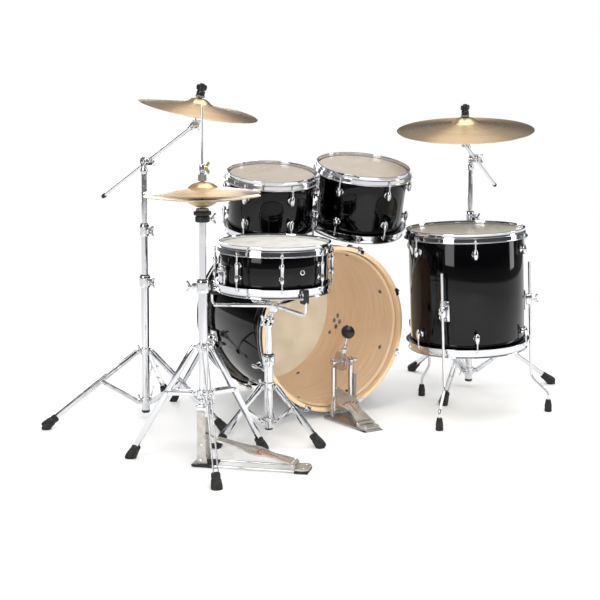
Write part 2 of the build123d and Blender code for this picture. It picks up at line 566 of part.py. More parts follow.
def cymbal_stand(name, stand, tilter_z, boom_end, tail, lean, stem_length, radius):
    x, y = stand["centre"]
    lower, middle, upper = LOWER_TUBE, MIDDLE_TUBE, UPPER_TUBE
    stand_legs(name + "_base", stand, lower[0])
    add(name + "_base", tube((x, y, 26), (x, y, FIRST_CLAMP_Z), lower[0], lower[0] - lower[1]))
    add(name + "_base", tip_cap(lower[0]).moved(Location((x, y, 26))))
    tiers = (("_base", FIRST_CLAMP_Z, lower[0]), ("_middle_tube", SECOND_CLAMP_Z, middle[0]))
    for tier, z, radius_out in tiers:
        grip = clamp(radius_out + 4.5, 42, radius_out + 0.05).moved(Location((x, y, z - 42), (0, 0, -75)))
        add(name + tier, grip)
        bolt_at = Location((x, y, z - 21), (0, 0, -75)) * Location((radius_out + 16.6, 0, 0))
        bolt = wing_bolt(12).moved(bolt_at)
        add(name + tier, bolt)
    run = tube((x, y, FIRST_CLAMP_Z - 250), (x, y, SECOND_CLAMP_Z), middle[0], middle[0] - middle[1])
    add(name + "_middle_tube", run)
    pivot, direction, side = boom_frame(stand, tilter_z, boom_end)
    post = tube((x, y, SECOND_CLAMP_Z - 150), (x, y, tilter_z - 22), upper[0], upper[0] - upper[1])
    post = post.fuse(rod((x, y, tilter_z - 40), (x, y, tilter_z - 22), upper[0] + 1.5))
    face = 5.0
    cheek = rod(pivot - side * 6.0, pivot + side * face, 17.0)
    neck_at = pivot - side * 0.5
    neck = bar(neck_at - Vector(0, 0, 24), neck_at - Vector(0, 0, 10), 16, 11, side)
    add(name + "_upper_tube", post.fuse(cheek, neck))
    drum_end = rod(pivot + side * (face + 0.4), pivot + side * 29, 16.5)
    centre_line = pivot + side * BOOM_SIDE
    boom_hole = rod(centre_line - direction * 60, centre_line + direction * 60, BOOM_ROD + 0.35)
    bolt_place = frame_at(pivot + side * 29, side)
    bolt = wing_bolt(10).moved(bolt_place * Location((0, 0, 0), (0, -90, 0)))
    jaw = rod(centre_line - direction * 18, centre_line + direction * 18, 9.5)
    add(name + "_boom_clamp", (drum_end.fuse(jaw) - boom_hole).fuse(bolt))
    end = Vector(*boom_end) + side * BOOM_SIDE
    boom = rod(centre_line - direction * tail, end - direction * 14, BOOM_ROD)
    knob = rod(centre_line - direction * (tail + 16), centre_line - direction * tail, BOOM_ROD + 1.6)
    fork = rod(end - side * 8, end - side * 0.4, 12.0)
    shoulder = rod(end - direction * 26, end - direction * 13.2, 9.0)
    link = rod(end - direction * 14 - side * 4.5, end - side * 4.5, 4.4)
    add(name + "_boom", boom.fuse(knob, shoulder, fork, link))
    up = unit((*lean, 1))
    ratchet = rod(end + side * 0.4, end + side * 9.0, 12.0)
    stem_foot = end + side * 4.7
    stem = rod(stem_foot, stem_foot + up * (stem_length + 44), 3.9)
    seat = rod(stem_foot + up * 14, stem_foot + up * 18, 12.0)
    cymbal_at = stem_foot + up * stem_length
    tilt = frame_at(cymbal_at, up)
    sleeve = turned([(4.0, -34), (9, -34), (9, -26), (5.6, -24), (5.6, 14), (4.0, 14)]).moved(tilt)
    felt = turned([(5.8, 0), (12, 0), (13, 2), (13, 6), (12, 8), (5.8, 8)])
    felts = [felt.moved(tilt * Location((0, 0, z))) for z in (-11.4, 1.8)]
    nut = turned([(4, 16), (11, 16), (11, 20), (8, 24), (7.5, 46), (6, 49), (0, 49), (0, 44.2), (4, 44.2)])
    wing = nut.fuse(block((0, 0, 36), (38, 5, 13), 2.0) - rod((0, 0, 20), (0, 0, 44.2), 4.2)).moved(tilt)
    cup = turned([(5.7, -14), (13, -14), (13, -11.6), (5.7, -11.6)]).moved(tilt)
    add(name + "_tilter", ratchet.fuse(stem, seat), sleeve, *felts, cup, wing)
    add(name + "_cymbal", cymbal(radius, 7.0).moved(tilt))


def tip_cap(radius):
    """Plastic plug in the foot of a post."""
    return turned([(0, -6), (radius - 2, -6), (radius, -3), (radius, 0), (0, 0)])


def cymbal(radius, bore, bow=0.11, thickness=1.1, bell=0.2, rise=0.085):
    """Cymbal about Z with its bell hole at the origin: hammered bow, then the bell."""
    bell_r = radius * bell
    bell_h = radius * rise * 0.95
    bow_h = radius * bow
    outline = [(bore, 0.0)]
    steps = 5
    for k in range(1, steps + 1):
        share = k / steps
        outline.append((bore + (bell_r - bore) * share, -bell_h * share ** 2.2))
    for k in range(1, 9):
        share = k / 8
        r = bell_r + (radius - bell_r) * share
        outline.append((r, -bell_h - bow_h * (0.35 * share + 0.65 * share ** 2)))
    lower = [(r, z - thickness) for r, z in reversed(outline)]
    return turned(outline + lower)


# ---------------------------------------------------------------- hi-hat


def hihat():
    x, y = HIHAT["centre"]
    stand_legs("hihat_base", HIHAT, 14.3)
    add("hihat_base", tube((x, y, 150), (x, y, HAT_TUBE_TOP_Z), 14.3, 12.6))
    add("hihat_base", clamp(18.8, 40, 14.35).moved(Location((x, y, HAT_TUBE_TOP_Z - 38), (0, 0, 150))))
    bolt_at = Location((x, y, HAT_TUBE_TOP_Z - 18), (0, 0, 150)) * Location((31, 0, 0))
    add("hihat_base", wing_bolt(12).moved(bolt_at))
    along = Location((x, y, 0), (0, 0, HAT_BOARD_AZIMUTH))
    foot_plate = block((8, 0, 6), (76, 72, 6), 2.0)
    cheeks = [block((0, s * 25, 86), (26, 4, 154)) for s in (-1, 1)]
    bridge = block((0, 0, 178), (34, 54, 30), 3.0) - rod((0, 0, 100), (0, 0, 250), 14.35)
    add("hihat_base", *[piece.moved(along) for piece in (foot_plate, *cheeks, bridge)])
    heel = block((HAT_HEEL_X + 26, 0, 12), (46, 74, 6), 1.5)
    lugs = [block((HAT_HEEL_X, s * 29, 17), (16, 7, 16), 1.0) for s in (-1, 1)]
    spars = [rod((46.1, s * 31, 5.8), (HAT_HEEL_X + 10, s * 31, 5.8), 3.2) for s in (-1, 1)]
    add("hihat_base", heel.fuse(*lugs).moved(along), *[spar.moved(along) for spar in spars])
    board_pitch = atan2(HAT_TOE_Z - HAT_HEEL_Z, HAT_HEEL_X - HAT_TOE_X)
    length = hypot(HAT_TOE_Z - HAT_HEEL_Z, HAT_HEEL_X - HAT_TOE_X)
    board_frame = along * Location((HAT_HEEL_X, 0, HAT_HEEL_Z), (0, degrees(board_pitch), 0))
    half = [(-12, 24), (-60, 22), (-105, 21), (-140, 33), (-185, 37), (-230, 34), (-length, 16)]
    outline = half + [(along_board, -across) for along_board, across in half[::-1]]
    board = plate(outline, -1.5, 5.0, board_frame)
    barrel = rod((0, -24.5, 0), (0, 24.5, 0), 5.0).moved(board_frame)
    web = block((-9, 0, 1), (14, 44, 5)).moved(board_frame)
    add("hihat_footboard", board.fuse(barrel, web))
    seat_low = HAT_SEAT_Z - 32
    tube_run = tube((x, y, HAT_TUBE_TOP_Z - 150), (x, y, seat_low), 10.7, 8.8)
    cup = turned([(8.9, 0), (15, 0), (26, 10), (26, 15), (8.9, 15)]).moved(Location((x, y, seat_low)))
    felt = turned([(8.9, 15.2), (20, 15.2), (20, 21), (14, 24), (8.9, 24)]).moved(Location((x, y, seat_low)))
    screw = rod((x, y, seat_low + 7), (x + 30, y - 12, seat_low + 7), 2.4)
    screw = screw - rod((x, y, 700), (x, y, 850), 24)
    add("hihat_tube", tube_run.fuse(cup), felt, screw)
    add("hihat_bottom_cymbal", hat(-1).moved(Location((x, y, HAT_SEAT_Z - 6))))
    add("hihat_rod", rod((x, y, 112), (x, y, HAT_ROD_TOP_Z), HAT_ROD))
    link = block((0, 0, 106), (12, 16, 12), 1.5).moved(along)
    add("hihat_rod", link)
    chain_start = Vector(0, 0, 99.6)
    chain_end = Vector(HAT_TOE_X - 4, 0, HAT_TOE_Z + 6)
    add("hihat_rod", bar(chain_start, chain_end, 9, 6, (0, 1, 0)).moved(along))
    clutch_z = HAT_SEAT_Z - 6 + 2 * HAT_HEIGHT + HAT_GAP
    body = turned([(3.4, 12), (8.5, 12), (8.5, 53), (3.4, 53)])
    body = body.fuse(turned([(3.4, -15), (5.6, -15), (5.6, 12), (3.4, 12)]))
    thumb = wing_bolt(4).moved(Location((8.0, 0, 42)))
    felts = [turned([(5.8, z), (15, z), (15, z + 6), (5.8, z + 6)]) for z in (-9.0, 1.6)]
    nut = turned([(5.8, -14), (10.5, -14), (10.5, -9.3), (5.8, -9.3)])
    clutch_place = Location((x, y, clutch_z), (0, 0, -20))
    add("hihat_clutch", body.fuse(thumb).moved(clutch_place), *[f.moved(clutch_place) for f in felts])
    add("hihat_clutch", nut.moved(clutch_place))
    add("hihat_top_cymbal", hat(1).moved(Location((x, y, clutch_z))))


def hat(side):
    """Hi-hat cymbal with its bell hole at the origin, bell up (+1) or down (-1)."""
    shape = cymbal(HAT_RADIUS, 6.2, 0.09, 1.1, 0.27, 0.105)
    return shape if side > 0 else shape.moved(Location((0, 0, 0), (180, 0, 0)))


# ---------------------------------------------------------------- bass drum pedal


def pedal():
    axle_y, axle_z = PEDAL_AXLE
    heel_y, heel_z = PEDAL_HEEL
    base = block((0, (heel_y - 50 - 26) / 2, 5), (78, -heel_y + 50 - 26, 5), 1.2)
    heel = block((0, heel_y - 25, 11), (74, 44, 7), 2.0)
    ears = [block((s * 30, heel_y, 15), (8, 16, 18), 1.0) for s in (-1, 1)]
    jaw = block((0, -14, 10), (52, 38, 10.4), 1.0)
    add("pedal_base", base.fuse(heel, *ears, jaw))
    screw = rod((0, -30, 15.2), (0, -30, 34), 4.0)
    finger = block((0, -20, 34), (30, 32, 5), 1.5)
    add("pedal_base", screw.fuse(finger))
    for side in (-1, 1):
        post = bar((side * 36, axle_y, 7.5), (side * 36, axle_y, axle_z - 8), 16, 9, (1, 0, 0))
        bearing = rod((side * 30.5, axle_y, axle_z), (side * 41.5, axle_y, axle_z), 12.0)
        bearing = bearing - rod((side * 20, axle_y, axle_z), (side * 50, axle_y, axle_z), 5.4)
        post = post - rod((side * 20, axle_y, axle_z), (side * 50, axle_y, axle_z), 11)
        add("pedal_base", post.fuse(bearing))
    spring = tube((54, axle_y, 58), (54, axle_y, 158), 8.5, 5.5)
    rods = rod((54, axle_y, 22), (54, axle_y, 58), 2.5)
    foot = block((47, axle_y, 18), (24, 12, 10), 1.5)
    add("pedal_base", spring, rods, foot)
    back = radians(BEATER_BACK)
    lean = Vector(0, -sin(back), cos(back))
    pivot = Vector(0, axle_y, axle_z)
    axle = rod(pivot - Vector(44, 0, 0), pivot + Vector(46, 0, 0), 5.0)
    cam = rod(pivot - Vector(7, 0, 0), pivot + Vector(7, 0, 0), PEDAL_CAM)
    hub = rod(pivot + lean * 6, pivot + lean * 52, 8.5)
    shaft = rod(pivot + lean * 40, pivot + lean * BEATER_REACH, 4.0)
    hook = rod((54, axle_y, 164), (54, axle_y, axle_z), 2.2)
    rocker = block((54, axle_y, axle_z), (15, 16, 12), 1.5).fuse(hook)
    add("pedal_beater", axle.fuse(cam, hub, shaft, rocker))
    strike = Vector(0, cos(back), sin(back))
    centre = pivot + lean * BEATER_REACH
    face = frame_at(centre, strike)
    beater = turned([(0, -22), (12, -21), (19, -14), (23, 0), (19, 14), (12, 21), (0, 22)]).moved(face)
    add("pedal_beater", beater - rod(pivot, centre, 4.05))
    toe_y, toe_z = PEDAL_TOE_Y, PEDAL_TOE_Z
    pitch = atan2(toe_z - heel_z, toe_y - heel_y)
    length = hypot(toe_z - heel_z, toe_y - heel_y)
    board_frame = Location((0, heel_y, heel_z), (degrees(pitch), 0, 0))
    half = [(22, 12), (21, 50), (26, 66), (34, 82), (37, 104), (34, 126), (26, 144), (23, 160), (19, 180),
            (10, length)]
    outline = [(-across, along) for across, along in half] + half[::-1]
    board = plate(outline, -1.5, 6.0, board_frame)
    barrel = rod((-25.5, 0, 0), (25.5, 0, 0), 5.5).moved(board_frame)
    web = block((0, 9, 1), (42, 14, 6)).moved(board_frame)
    add("pedal_footboard", board.fuse(barrel, web))
    chain_y = axle_y + PEDAL_CAM + 3.4
    add("pedal_chain", block((0, chain_y, (axle_z - 6 + toe_z + 6) / 2), (9, 5.6, axle_z - toe_z - 12)))


def rubber_pads():
    heel_y = PEDAL_HEEL[0]
    add("rubber_feet", block((0, (heel_y - 50 - 26) / 2, 1.2), (74, -heel_y + 44 - 26, 2.4)))
    x, y = HIHAT["centre"]
    along = Location((x, y, 0), (0, 0, HAT_BOARD_AZIMUTH))
    add("rubber_feet", block((8, 0, 1.4), (70, 66, 2.8)).moved(along))
    add("rubber_feet", block((HAT_HEEL_X + 26, 0, 1.4), (42, 70, 2.8)).moved(along))


def write(name, solids):
    shift = Location((-KIT_ORIGIN[0], -KIT_ORIGIN[1], 0))
    placed = [solid.moved(shift) for shape in solids for solid in shape.solids()]
    shape = placed[0] if len(placed) == 1 else Compound(children=placed)
    export_step(shape, f"parts/{name}.step")


def main():
    os.makedirs("parts", exist_ok=True)
    bass_drum()
    spurs()
    tom("tom_12", TOM_12, 6 * INCH, 8 * INCH)
    tom("tom_13", TOM_13, 6.5 * INCH, 9 * INCH)
    tom_holder()
    floor_tom()
    snare_drum()
    snare_stand()
    cymbal_stand("crash", CRASH, CRASH_TILTER_Z, CRASH_BOOM_END, CRASH_BOOM_TAIL, CRASH_LEAN, CRASH_STEM,
                 CRASH_RADIUS)
    cymbal_stand("ride", RIDE, RIDE_TILTER_Z, RIDE_BOOM_END, RIDE_BOOM_TAIL, RIDE_LEAN, RIDE_STEM,
                 RIDE_RADIUS)
    hihat()
    pedal()
    rubber_pads()
    for name, solids in nodes.items():
        write(name, solids)


if __name__ == "__main__":
    main()
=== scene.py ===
import json
import logging
import math
from dataclasses import dataclass
from enum import Enum
from typing import Any, Iterable, Sequence

import bmesh
import bpy
from mathutils import Matrix, Vector


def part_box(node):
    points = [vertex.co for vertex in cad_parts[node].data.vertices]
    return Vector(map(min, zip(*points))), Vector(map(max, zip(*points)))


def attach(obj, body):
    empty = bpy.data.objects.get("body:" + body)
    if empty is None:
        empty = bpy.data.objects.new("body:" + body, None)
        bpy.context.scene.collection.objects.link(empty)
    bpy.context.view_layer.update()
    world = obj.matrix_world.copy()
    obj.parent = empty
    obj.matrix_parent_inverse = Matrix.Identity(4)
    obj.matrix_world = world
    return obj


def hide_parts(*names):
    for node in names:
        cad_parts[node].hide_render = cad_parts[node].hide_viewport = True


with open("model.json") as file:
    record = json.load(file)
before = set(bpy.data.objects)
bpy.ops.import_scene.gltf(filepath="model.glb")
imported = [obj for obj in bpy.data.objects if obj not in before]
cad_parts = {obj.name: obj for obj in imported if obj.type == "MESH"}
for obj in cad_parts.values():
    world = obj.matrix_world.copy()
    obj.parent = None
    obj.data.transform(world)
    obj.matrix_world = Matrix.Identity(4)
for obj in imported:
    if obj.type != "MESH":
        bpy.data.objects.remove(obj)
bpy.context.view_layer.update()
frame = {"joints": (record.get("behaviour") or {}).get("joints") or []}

log = logging.getLogger("drum_kit")

MM = 0.001
INCH = 25.4
TURN = 2 * math.pi
SHARP_EDGE = math.radians(38)
# Turns a flat plate upright, its y axis to z.
UPRIGHT = Matrix.Rotation(math.radians(90), 4, "X")
# Turns a place upside down.
TURNED_OVER = Matrix.Rotation(math.pi, 4, "X")

Point = Sequence[float]
Outline = list[tuple[float, float]]


# ------------------------------------------------------------------ places


def layout_origin() -> Vector:
    """Frame point, in millimetres, of the floor under the centre of the bass drum's batter edge."""
    low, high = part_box("bass_shell")
    return Vector(((low[0] + high[0]) / 2, low[1], 0)) / MM


ORIGIN = layout_origin()


def joint_place(name: str) -> tuple[Vector, Vector]:
    """Pivot, in layout millimetres, and axis of a joint of the frame.

    Args:
        name: The joint's name.

    Returns:
        The pivot (the origin for a slide) and the unit axis.
    """
    joint = next(j for j in frame["joints"] if j["name"] == name)
    pivot = Vector(joint.get("pos_m") or (0, 0, 0)) / MM - ORIGIN
    return pivot, Vector(joint["axis"]).normalized()


def frame_at(origin: Point, up: Point, ahead: Point = (1, 0, 0)) -> Matrix:
    """Matrix whose z axis is up and whose x axis is as near to ahead as it can be.

    Args:
        origin: Where the matrix puts the local origin.
        up: Direction of the local z axis.
        ahead: Direction that the local x axis comes near to.

    Returns:
        A rigid 4 by 4 matrix.
    """
    z_axis = Vector(up).normalized()
    wanted = Vector(ahead)
    if abs(wanted.normalized().dot(z_axis)) > 0.999:
        wanted = Vector((0, 1, 0))
    x_axis = (wanted - z_axis * wanted.dot(z_axis)).normalized()
    y_axis = z_axis.cross(x_axis)
    turned = Matrix((x_axis, y_axis, z_axis)).transposed().to_4x4()
    return Matrix.Translation(Vector(origin)) @ turned


def at(x: float = 0, y: float = 0, z: float = 0) -> Matrix:
    """Matrix that moves by x, y and z."""
    return Matrix.Translation((x, y, z))


def spin(azimuth: float, radius: float = 0, height: float = 0) -> Matrix:
    """Matrix to an azimuth in degrees, then out by a radius and up by a height."""
    return Matrix.Rotation(math.radians(azimuth), 4, "Z") @ at(radius, 0, height)


def polar(azimuth: float) -> Vector:
    """Level unit vector at an azimuth in degrees."""
    return Vector((math.cos(math.radians(azimuth)), math.sin(math.radians(azimuth)), 0))


# ------------------------------------------------------------------ outlines


def corner_bend(before: Vector, here: Vector, after: Vector, radius: float, steps: int) -> list[Vector]:
    """Arc-like curve that rounds one corner.

    Args:
        before: Corner before this one.
        here: The corner that is rounded.
        after: Corner after it.
        radius: How far from the corner the curve starts, cut to 45% of the shorter side.
        steps: Spans along the curve.

    Returns:
        The curve's points.
    """
    back, ahead = before - here, after - here
    reach = min(radius, back.length * 0.45, ahead.length * 0.45)
    start, end = here + back.normalized() * reach, here + ahead.normalized() * reach
    shares = [step / steps for step in range(steps + 1)]
    return [start * (1 - t) ** 2 + here * 2 * t * (1 - t) + end * t ** 2 for t in shares]


def eased(outline: Outline, radius: float, steps: int = 3) -> Outline:
    """Round every corner of a closed outline, in so many spans a corner.

    Args:
        outline: Corner points, in order.
        radius: How far from each corner the rounding starts.
        steps: Spans along each rounding.

    Returns:
        The rounded outline's points.
    """
    knots = [Vector(p) for p in outline]
    corners = zip([knots[-1], *knots], knots, [*knots[1:], knots[0]])
    return [(p.x, p.y) for corner in corners for p in corner_bend(*corner, radius, steps)]


def bent_line(points: Sequence[Point], radius: float, steps: int = 6) -> list[Vector]:
    """Round the inner corners of a line, in so many spans a corner.

    Args:
        points: Corners of the line.
        radius: How far from each corner the rounding starts.
        steps: Spans along each rounding.

    Returns:
        The line's points.
    """
    knots = [Vector(p) for p in points]
    bends = [p for corner in zip(knots, knots[1:], knots[2:]) for p in corner_bend(*corner, radius, steps)]
    return [knots[0], *bends, knots[-1]]


def mirrored(half: Outline) -> Outline:
    """Closed outline from the points of its +y side, in order of x."""
    return [*half, *[(x, -y) for x, y in reversed(half)]]


def slot_outline(length: float, width: float, steps: int = 8) -> Outline:
    """Straight slot along +X from the origin, with half-round ends about (0, 0) and (length, 0).

    Args:
        length: Distance between the centres of the ends.
        width: Width of the slot.
        steps: Spans round each end.

    Returns:
        The outline's points.
    """
    half = width / 2
    ends = []
    for centre, first in ((0.0, 90), (length, -90)):
        for step in range(steps + 1):
            angle = math.radians(first + 180 * step / steps)
            ends.append((centre + half * math.cos(angle), half * math.sin(angle)))
    return ends


def smooth_line(points: Sequence[Point], spans: int = 6) -> list[Vector]:
    """Catmull-Rom curve through points, ends included.

    Args:
        points: Points that the curve goes through.
        spans: Spans between two points.

    Returns:
        The curve's points.
    """
    knots = [Vector(p) for p in points]
    knots = [knots[0] * 2 - knots[1], *knots, knots[-1] * 2 - knots[-2]]
    line = []
    for a, b, c, d in zip(knots, knots[1:], knots[2:], knots[3:]):
        for step in range(spans):
            t = step / spans
            line.append(0.5 * (2 * b + (c - a) * t + (2 * a - 5 * b + 4 * c - d) * t ** 2
                               + (3 * b - a - 3 * c + d) * t ** 3))
    return [*line, knots[-2]]


def curved(points: Sequence[Point], spans: int = 4) -> Outline:
    """Smooth outline through flat points, ends included."""
    return [(p.x, p.y) for p in smooth_line(points, spans)]


# ------------------------------------------------------------------ finishes


def linear(hex_colour: str) -> tuple[float, float, float, float]:
    """Turn an sRGB hex colour into linear RGBA."""
    parts = [int(hex_colour[i:i + 2], 16) / 255 for i in (1, 3, 5)]
    return (*[c / 12.92 if c <= 0.04045 else ((c + 0.055) / 1.055) ** 2.4 for c in parts], 1.0)


def add_node(tree: bpy.types.NodeTree, kind: str, settings: dict[str, Any], **links: Any) -> bpy.types.Node:
    """Add a node with its settings and links.

    Args:
        tree: Node tree that takes the node.
        kind: The node's type name.
        settings: Values by input name, or by attribute where no input has the name.
        links: Output sockets by input name, with spaces written as underscores.

    Returns:
        The new node.
    """
    made = tree.nodes.new(kind)
    for key, value in settings.items():
        if not hasattr(made, key):
            made.inputs[key].default_value = value
        else:
            setattr(made, key, value)
    for key, socket in links.items():
        tree.links.new(socket, made.inputs[key.replace("_", " ")])
    return made


class Coordinates(Enum):
    """Which coordinates a pattern is laid out in."""

    SPACE = "Object"
    TURNING = "UV"


@dataclass(frozen=True)
class Surface:
    """Node tree of one material with its shader, and the patterns that can be put on it."""

    tree: bpy.types.NodeTree
    shader: bpy.types.Node

    def link(self, socket: bpy.types.NodeSocket, name: str) -> None:
        """Link a socket to one of the shader's inputs."""
        self.tree.links.new(socket, self.shader.inputs[name])

    def noise(self, grain_mm: Sequence[float], detail: float = 3.0,
              space: Coordinates = Coordinates.SPACE) -> bpy.types.NodeSocket:
        """Noise with a grain of the given size.

        Args:
            grain_mm: Size of one grain along each axis of the coordinates.
            detail: Octaves of the noise.
            space: Coordinates that the noise is laid out in.

        Returns:
            The noise's value socket.
        """
        where = add_node(self.tree, "ShaderNodeTexCoord", {})
        scale = tuple(1 / (size * MM) for size in grain_mm)
        mapping = add_node(self.tree, "ShaderNodeMapping", {"Scale": scale},
                           Vector=where.outputs[space.value])
        made = add_node(self.tree, "ShaderNodeTexNoise", {"Scale": 1.0, "Detail": detail},
                        Vector=mapping.outputs[0])
        return made.outputs["Fac"]

    def spread(self, value: bpy.types.NodeSocket, low: float, high: float, start: float = 0.35,
               end: float = 0.65) -> bpy.types.NodeSocket:
        """Map a value from start..end to low..high.

        Args:
            value: Socket to map.
            low: Result at start.
            high: Result at end.
            start: Value that gives low.
            end: Value that gives high.

        Returns:
            The mapped socket.
        """
        limits = {"From Min": start, "From Max": end, "To Min": low, "To Max": high}
        return add_node(self.tree, "ShaderNodeMapRange", limits, Value=value).outputs[0]

    def vary(self, name: str, value: bpy.types.NodeSocket, low: float, high: float) -> None:
        """Drive a shader input from low to high by a noise value."""
        self.link(self.spread(value, low, high), name)

    def blend(self, value: bpy.types.NodeSocket, first: str, last: str, start: float = 0.3,
              end: float = 0.7) -> bpy.types.NodeSocket:
        """Colour that goes from first to last as the value goes from start to end.

        Args:
            value: Socket that drives the ramp.
            first: Hex colour at start.
            last: Hex colour at end.
            start: Value of the first colour.
            end: Value of the last colour.

        Returns:
            The colour socket.
        """
        made = add_node(self.tree, "ShaderNodeValToRGB", {}, Fac=value)
        for element, position, colour in zip(made.color_ramp.elements, (start, end), (first, last)):
            element.position, element.color = position, linear(colour)
        return made.outputs[0]

    def bump(self, height: bpy.types.NodeSocket, depth_mm: float, strength: float = 1.0) -> None:
        """Raise the surface by a height pattern of the given depth."""
        settings = {"Strength": strength, "Distance": depth_mm * MM}
        self.link(add_node(self.tree, "ShaderNodeBump", settings, Height=height).outputs[0], "Normal")


@dataclass(frozen=True)
class Finish:
    """A real material with its made surface, as one procedural node material."""

    name: str
    colour: str
    roughness: float
    metallic: float = 0.0
    settings: tuple[tuple[str, float], ...] = ()

    def material(self) -> bpy.types.Material:
        """Build the material once and return it.

        Returns:
            The node material of this finish.
        """
        found = bpy.data.materials.get(self.name)
        if found:
            return found
        made = bpy.data.materials.new(self.name)
        made.use_nodes = True
        tree = made.node_tree
        tree.nodes.clear()
        shader = add_node(tree, "ShaderNodeBsdfPrincipled", {"Roughness": self.roughness,
                                                             "Metallic": self.metallic})
        shader.inputs["Base Color"].default_value = linear(self.colour)
        for key, value in self.settings:
            shader.inputs[key].default_value = value
        shader.inputs["Emission Color"].default_value = (1, 1, 1, 1)
        add_node(tree, "ShaderNodeOutputMaterial", {}, Surface=shader.outputs[0])
        self.dress(Surface(tree, shader))
        return made

    def dress(self, surface: Surface) -> None:
        """Add this finish's own patterns."""


class BlackLacquer(Finish):
    """Sprayed and polished black polyester lacquer: deep black with crisp, faintly rippled reflections."""

    def dress(self, surface: Surface) -> None:
        """Add polishing haze and the lacquer's slight ripple.

        Args:
            surface: Surface that takes the patterns.
        """
        haze = surface.noise((90, 90, 60), 4)
        surface.vary("Roughness", haze, self.roughness * 0.6, self.roughness * 1.7)
        ripple = surface.noise((14, 14, 14), 1)
        surface.bump(ripple, 0.03, 0.35)


class ClearMaple(Finish):
    """Rotary-cut maple under clear sealer: pale honey wood with long fine grain round the drum."""

    def dress(self, surface: Surface) -> None:
        """Add the grain; it is drawn about twice as coarse as real maple so that it shows.

        Args:
            surface: Surface that takes the patterns.
        """
        figure = surface.noise((7, 120, 1000), 5, Coordinates.TURNING)
        colour = surface.blend(figure, self.colour, "#dbb382", 0.35, 0.8)
        surface.link(colour, "Base Color")
        pores = surface.noise((1.6, 20, 1000), 2, Coordinates.TURNING)
        surface.vary("Roughness", pores, self.roughness - 0.08, self.roughness + 0.12)
        surface.bump(pores, 0.05, 0.4)


class ChromePlate(Finish):
    """Bright chrome over polished steel or zinc: mirror-like, with faint handling smears."""

    def dress(self, surface: Surface) -> None:
        """Add smears and the slight waviness of a plated casting or tube.

        Args:
            surface: Surface that takes the patterns.
        """
        smear = surface.noise((38, 38, 22), 5)
        surface.vary("Roughness", smear, self.roughness * 0.55, self.roughness * 2.0)
        wave = surface.noise((7, 7, 7), 2)
        surface.bump(wave, 0.012, 0.5)


class SatinSteel(Finish):
    """Drawn or brushed steel: grey metal with fine scratches along the work."""

    def dress(self, surface: Surface) -> None:
        """Add scratches, drawn coarser than real ones so that they show.

        Args:
            surface: Surface that takes the patterns.
        """
        scratch = surface.noise((1.2, 1.2, 16), 3)
        surface.vary("Roughness", scratch, self.roughness - 0.08, self.roughness + 0.15)
        surface.bump(scratch, 0.02, 0.5)


class LathedBronze(Finish):
    """Lathed cymbal bronze: pale warm metal whose fine turned grooves spread the light into spokes."""

    def dress(self, surface: Surface) -> None:
        """Add turned grooves, broad tone rings and hammer marks.

        The grooves are drawn at 1.6 mm, coarser than the real 0.6 mm, so that they show.

        Args:
            surface: Surface that takes the patterns.
        """
        groove = surface.noise((1.6, 40000, 1000), 2, Coordinates.TURNING)
        broad = surface.noise((13, 90000, 1000), 3, Coordinates.TURNING)
        colour = surface.blend(broad, self.colour, "#c9a878", 0.3, 0.8)
        fine = surface.blend(groove, "#ffffff", "#d8cdbd", 0.4, 0.7)
        tree = surface.tree
        mixed = add_node(tree, "ShaderNodeMix", {"data_type": "RGBA", "blend_type": "MULTIPLY"})
        mixed.inputs[0].default_value = 1.0
        tree.links.new(colour, mixed.inputs[6])
        tree.links.new(fine, mixed.inputs[7])
        surface.link(mixed.outputs[2], "Base Color")
        surface.vary("Roughness", groove, self.roughness - 0.06, self.roughness + 0.1)
        hammer = surface.noise((24, 24, 24), 1)
        total = add_node(tree, "ShaderNodeMath", {"operation": "MULTIPLY_ADD"})
        tree.links.new(hammer, total.inputs[0])
        total.inputs[1].default_value = 5.0
        tree.links.new(groove, total.inputs[2])
        surface.bump(total.outputs[0], 0.06, 0.55)
        tangent = add_node(tree, "ShaderNodeTangent", {"direction_type": "UV_MAP", "uv_map": "turning"})
        surface.link(tangent.outputs[0], "Tangent")


@dataclass(frozen=True)
class DrumFilm(Finish):
    """Drawn polyester film: thin, slightly milky, with a soft even sheen and faint stick scuffs."""

    glow: float = 0.0

    def dress(self, surface: Surface) -> None:
        """Add haze and scuffs.

        Args:
            surface: Surface that takes the patterns.
        """
        cloud = surface.noise((70, 70, 70), 4)
        surface.vary("Roughness", cloud, self.roughness - 0.05, self.roughness + 0.09)
        tint = surface.blend(cloud, self.colour, "#cfc8b8", 0.2, 1.0)
        surface.link(tint, "Base Color")
        if self.glow:
            self.thin(surface, tint)

    def thin(self, surface: Surface, tint: bpy.types.NodeSocket) -> None:
        """Let light from behind glow through the film.

        Args:
            surface: Surface that takes the patterns.
            tint: Colour of the light that comes through.
        """
        tree = surface.tree
        through = add_node(tree, "ShaderNodeBsdfTranslucent", {}, Color=tint)
        both = add_node(tree, "ShaderNodeMixShader", {})
        both.inputs[0].default_value = self.glow
        tree.links.new(surface.shader.outputs[0], both.inputs[1])
        tree.links.new(through.outputs[0], both.inputs[2])
        tree.links.new(both.outputs[0], tree.nodes["Material Output"].inputs["Surface"])


class CoatedFilm(DrumFilm):
    """Polyester film with a sprayed white coating: matt, bright and finely gritty."""

    def dress(self, surface: Surface) -> None:
        """Add the grit, drawn at 1.5 mm where the real spray is half of that, and light scuffing.

        Args:
            surface: Surface that takes the patterns.
        """
        grit = surface.noise((1.5, 1.5, 1.5), 2)
        surface.bump(grit, 0.12, 0.7)
        scuff = surface.noise((45, 45, 45), 5)
        tint = surface.blend(scuff, self.colour, "#d2d1cc", 0.45, 0.85)
        surface.link(tint, "Base Color")
        self.thin(surface, tint)


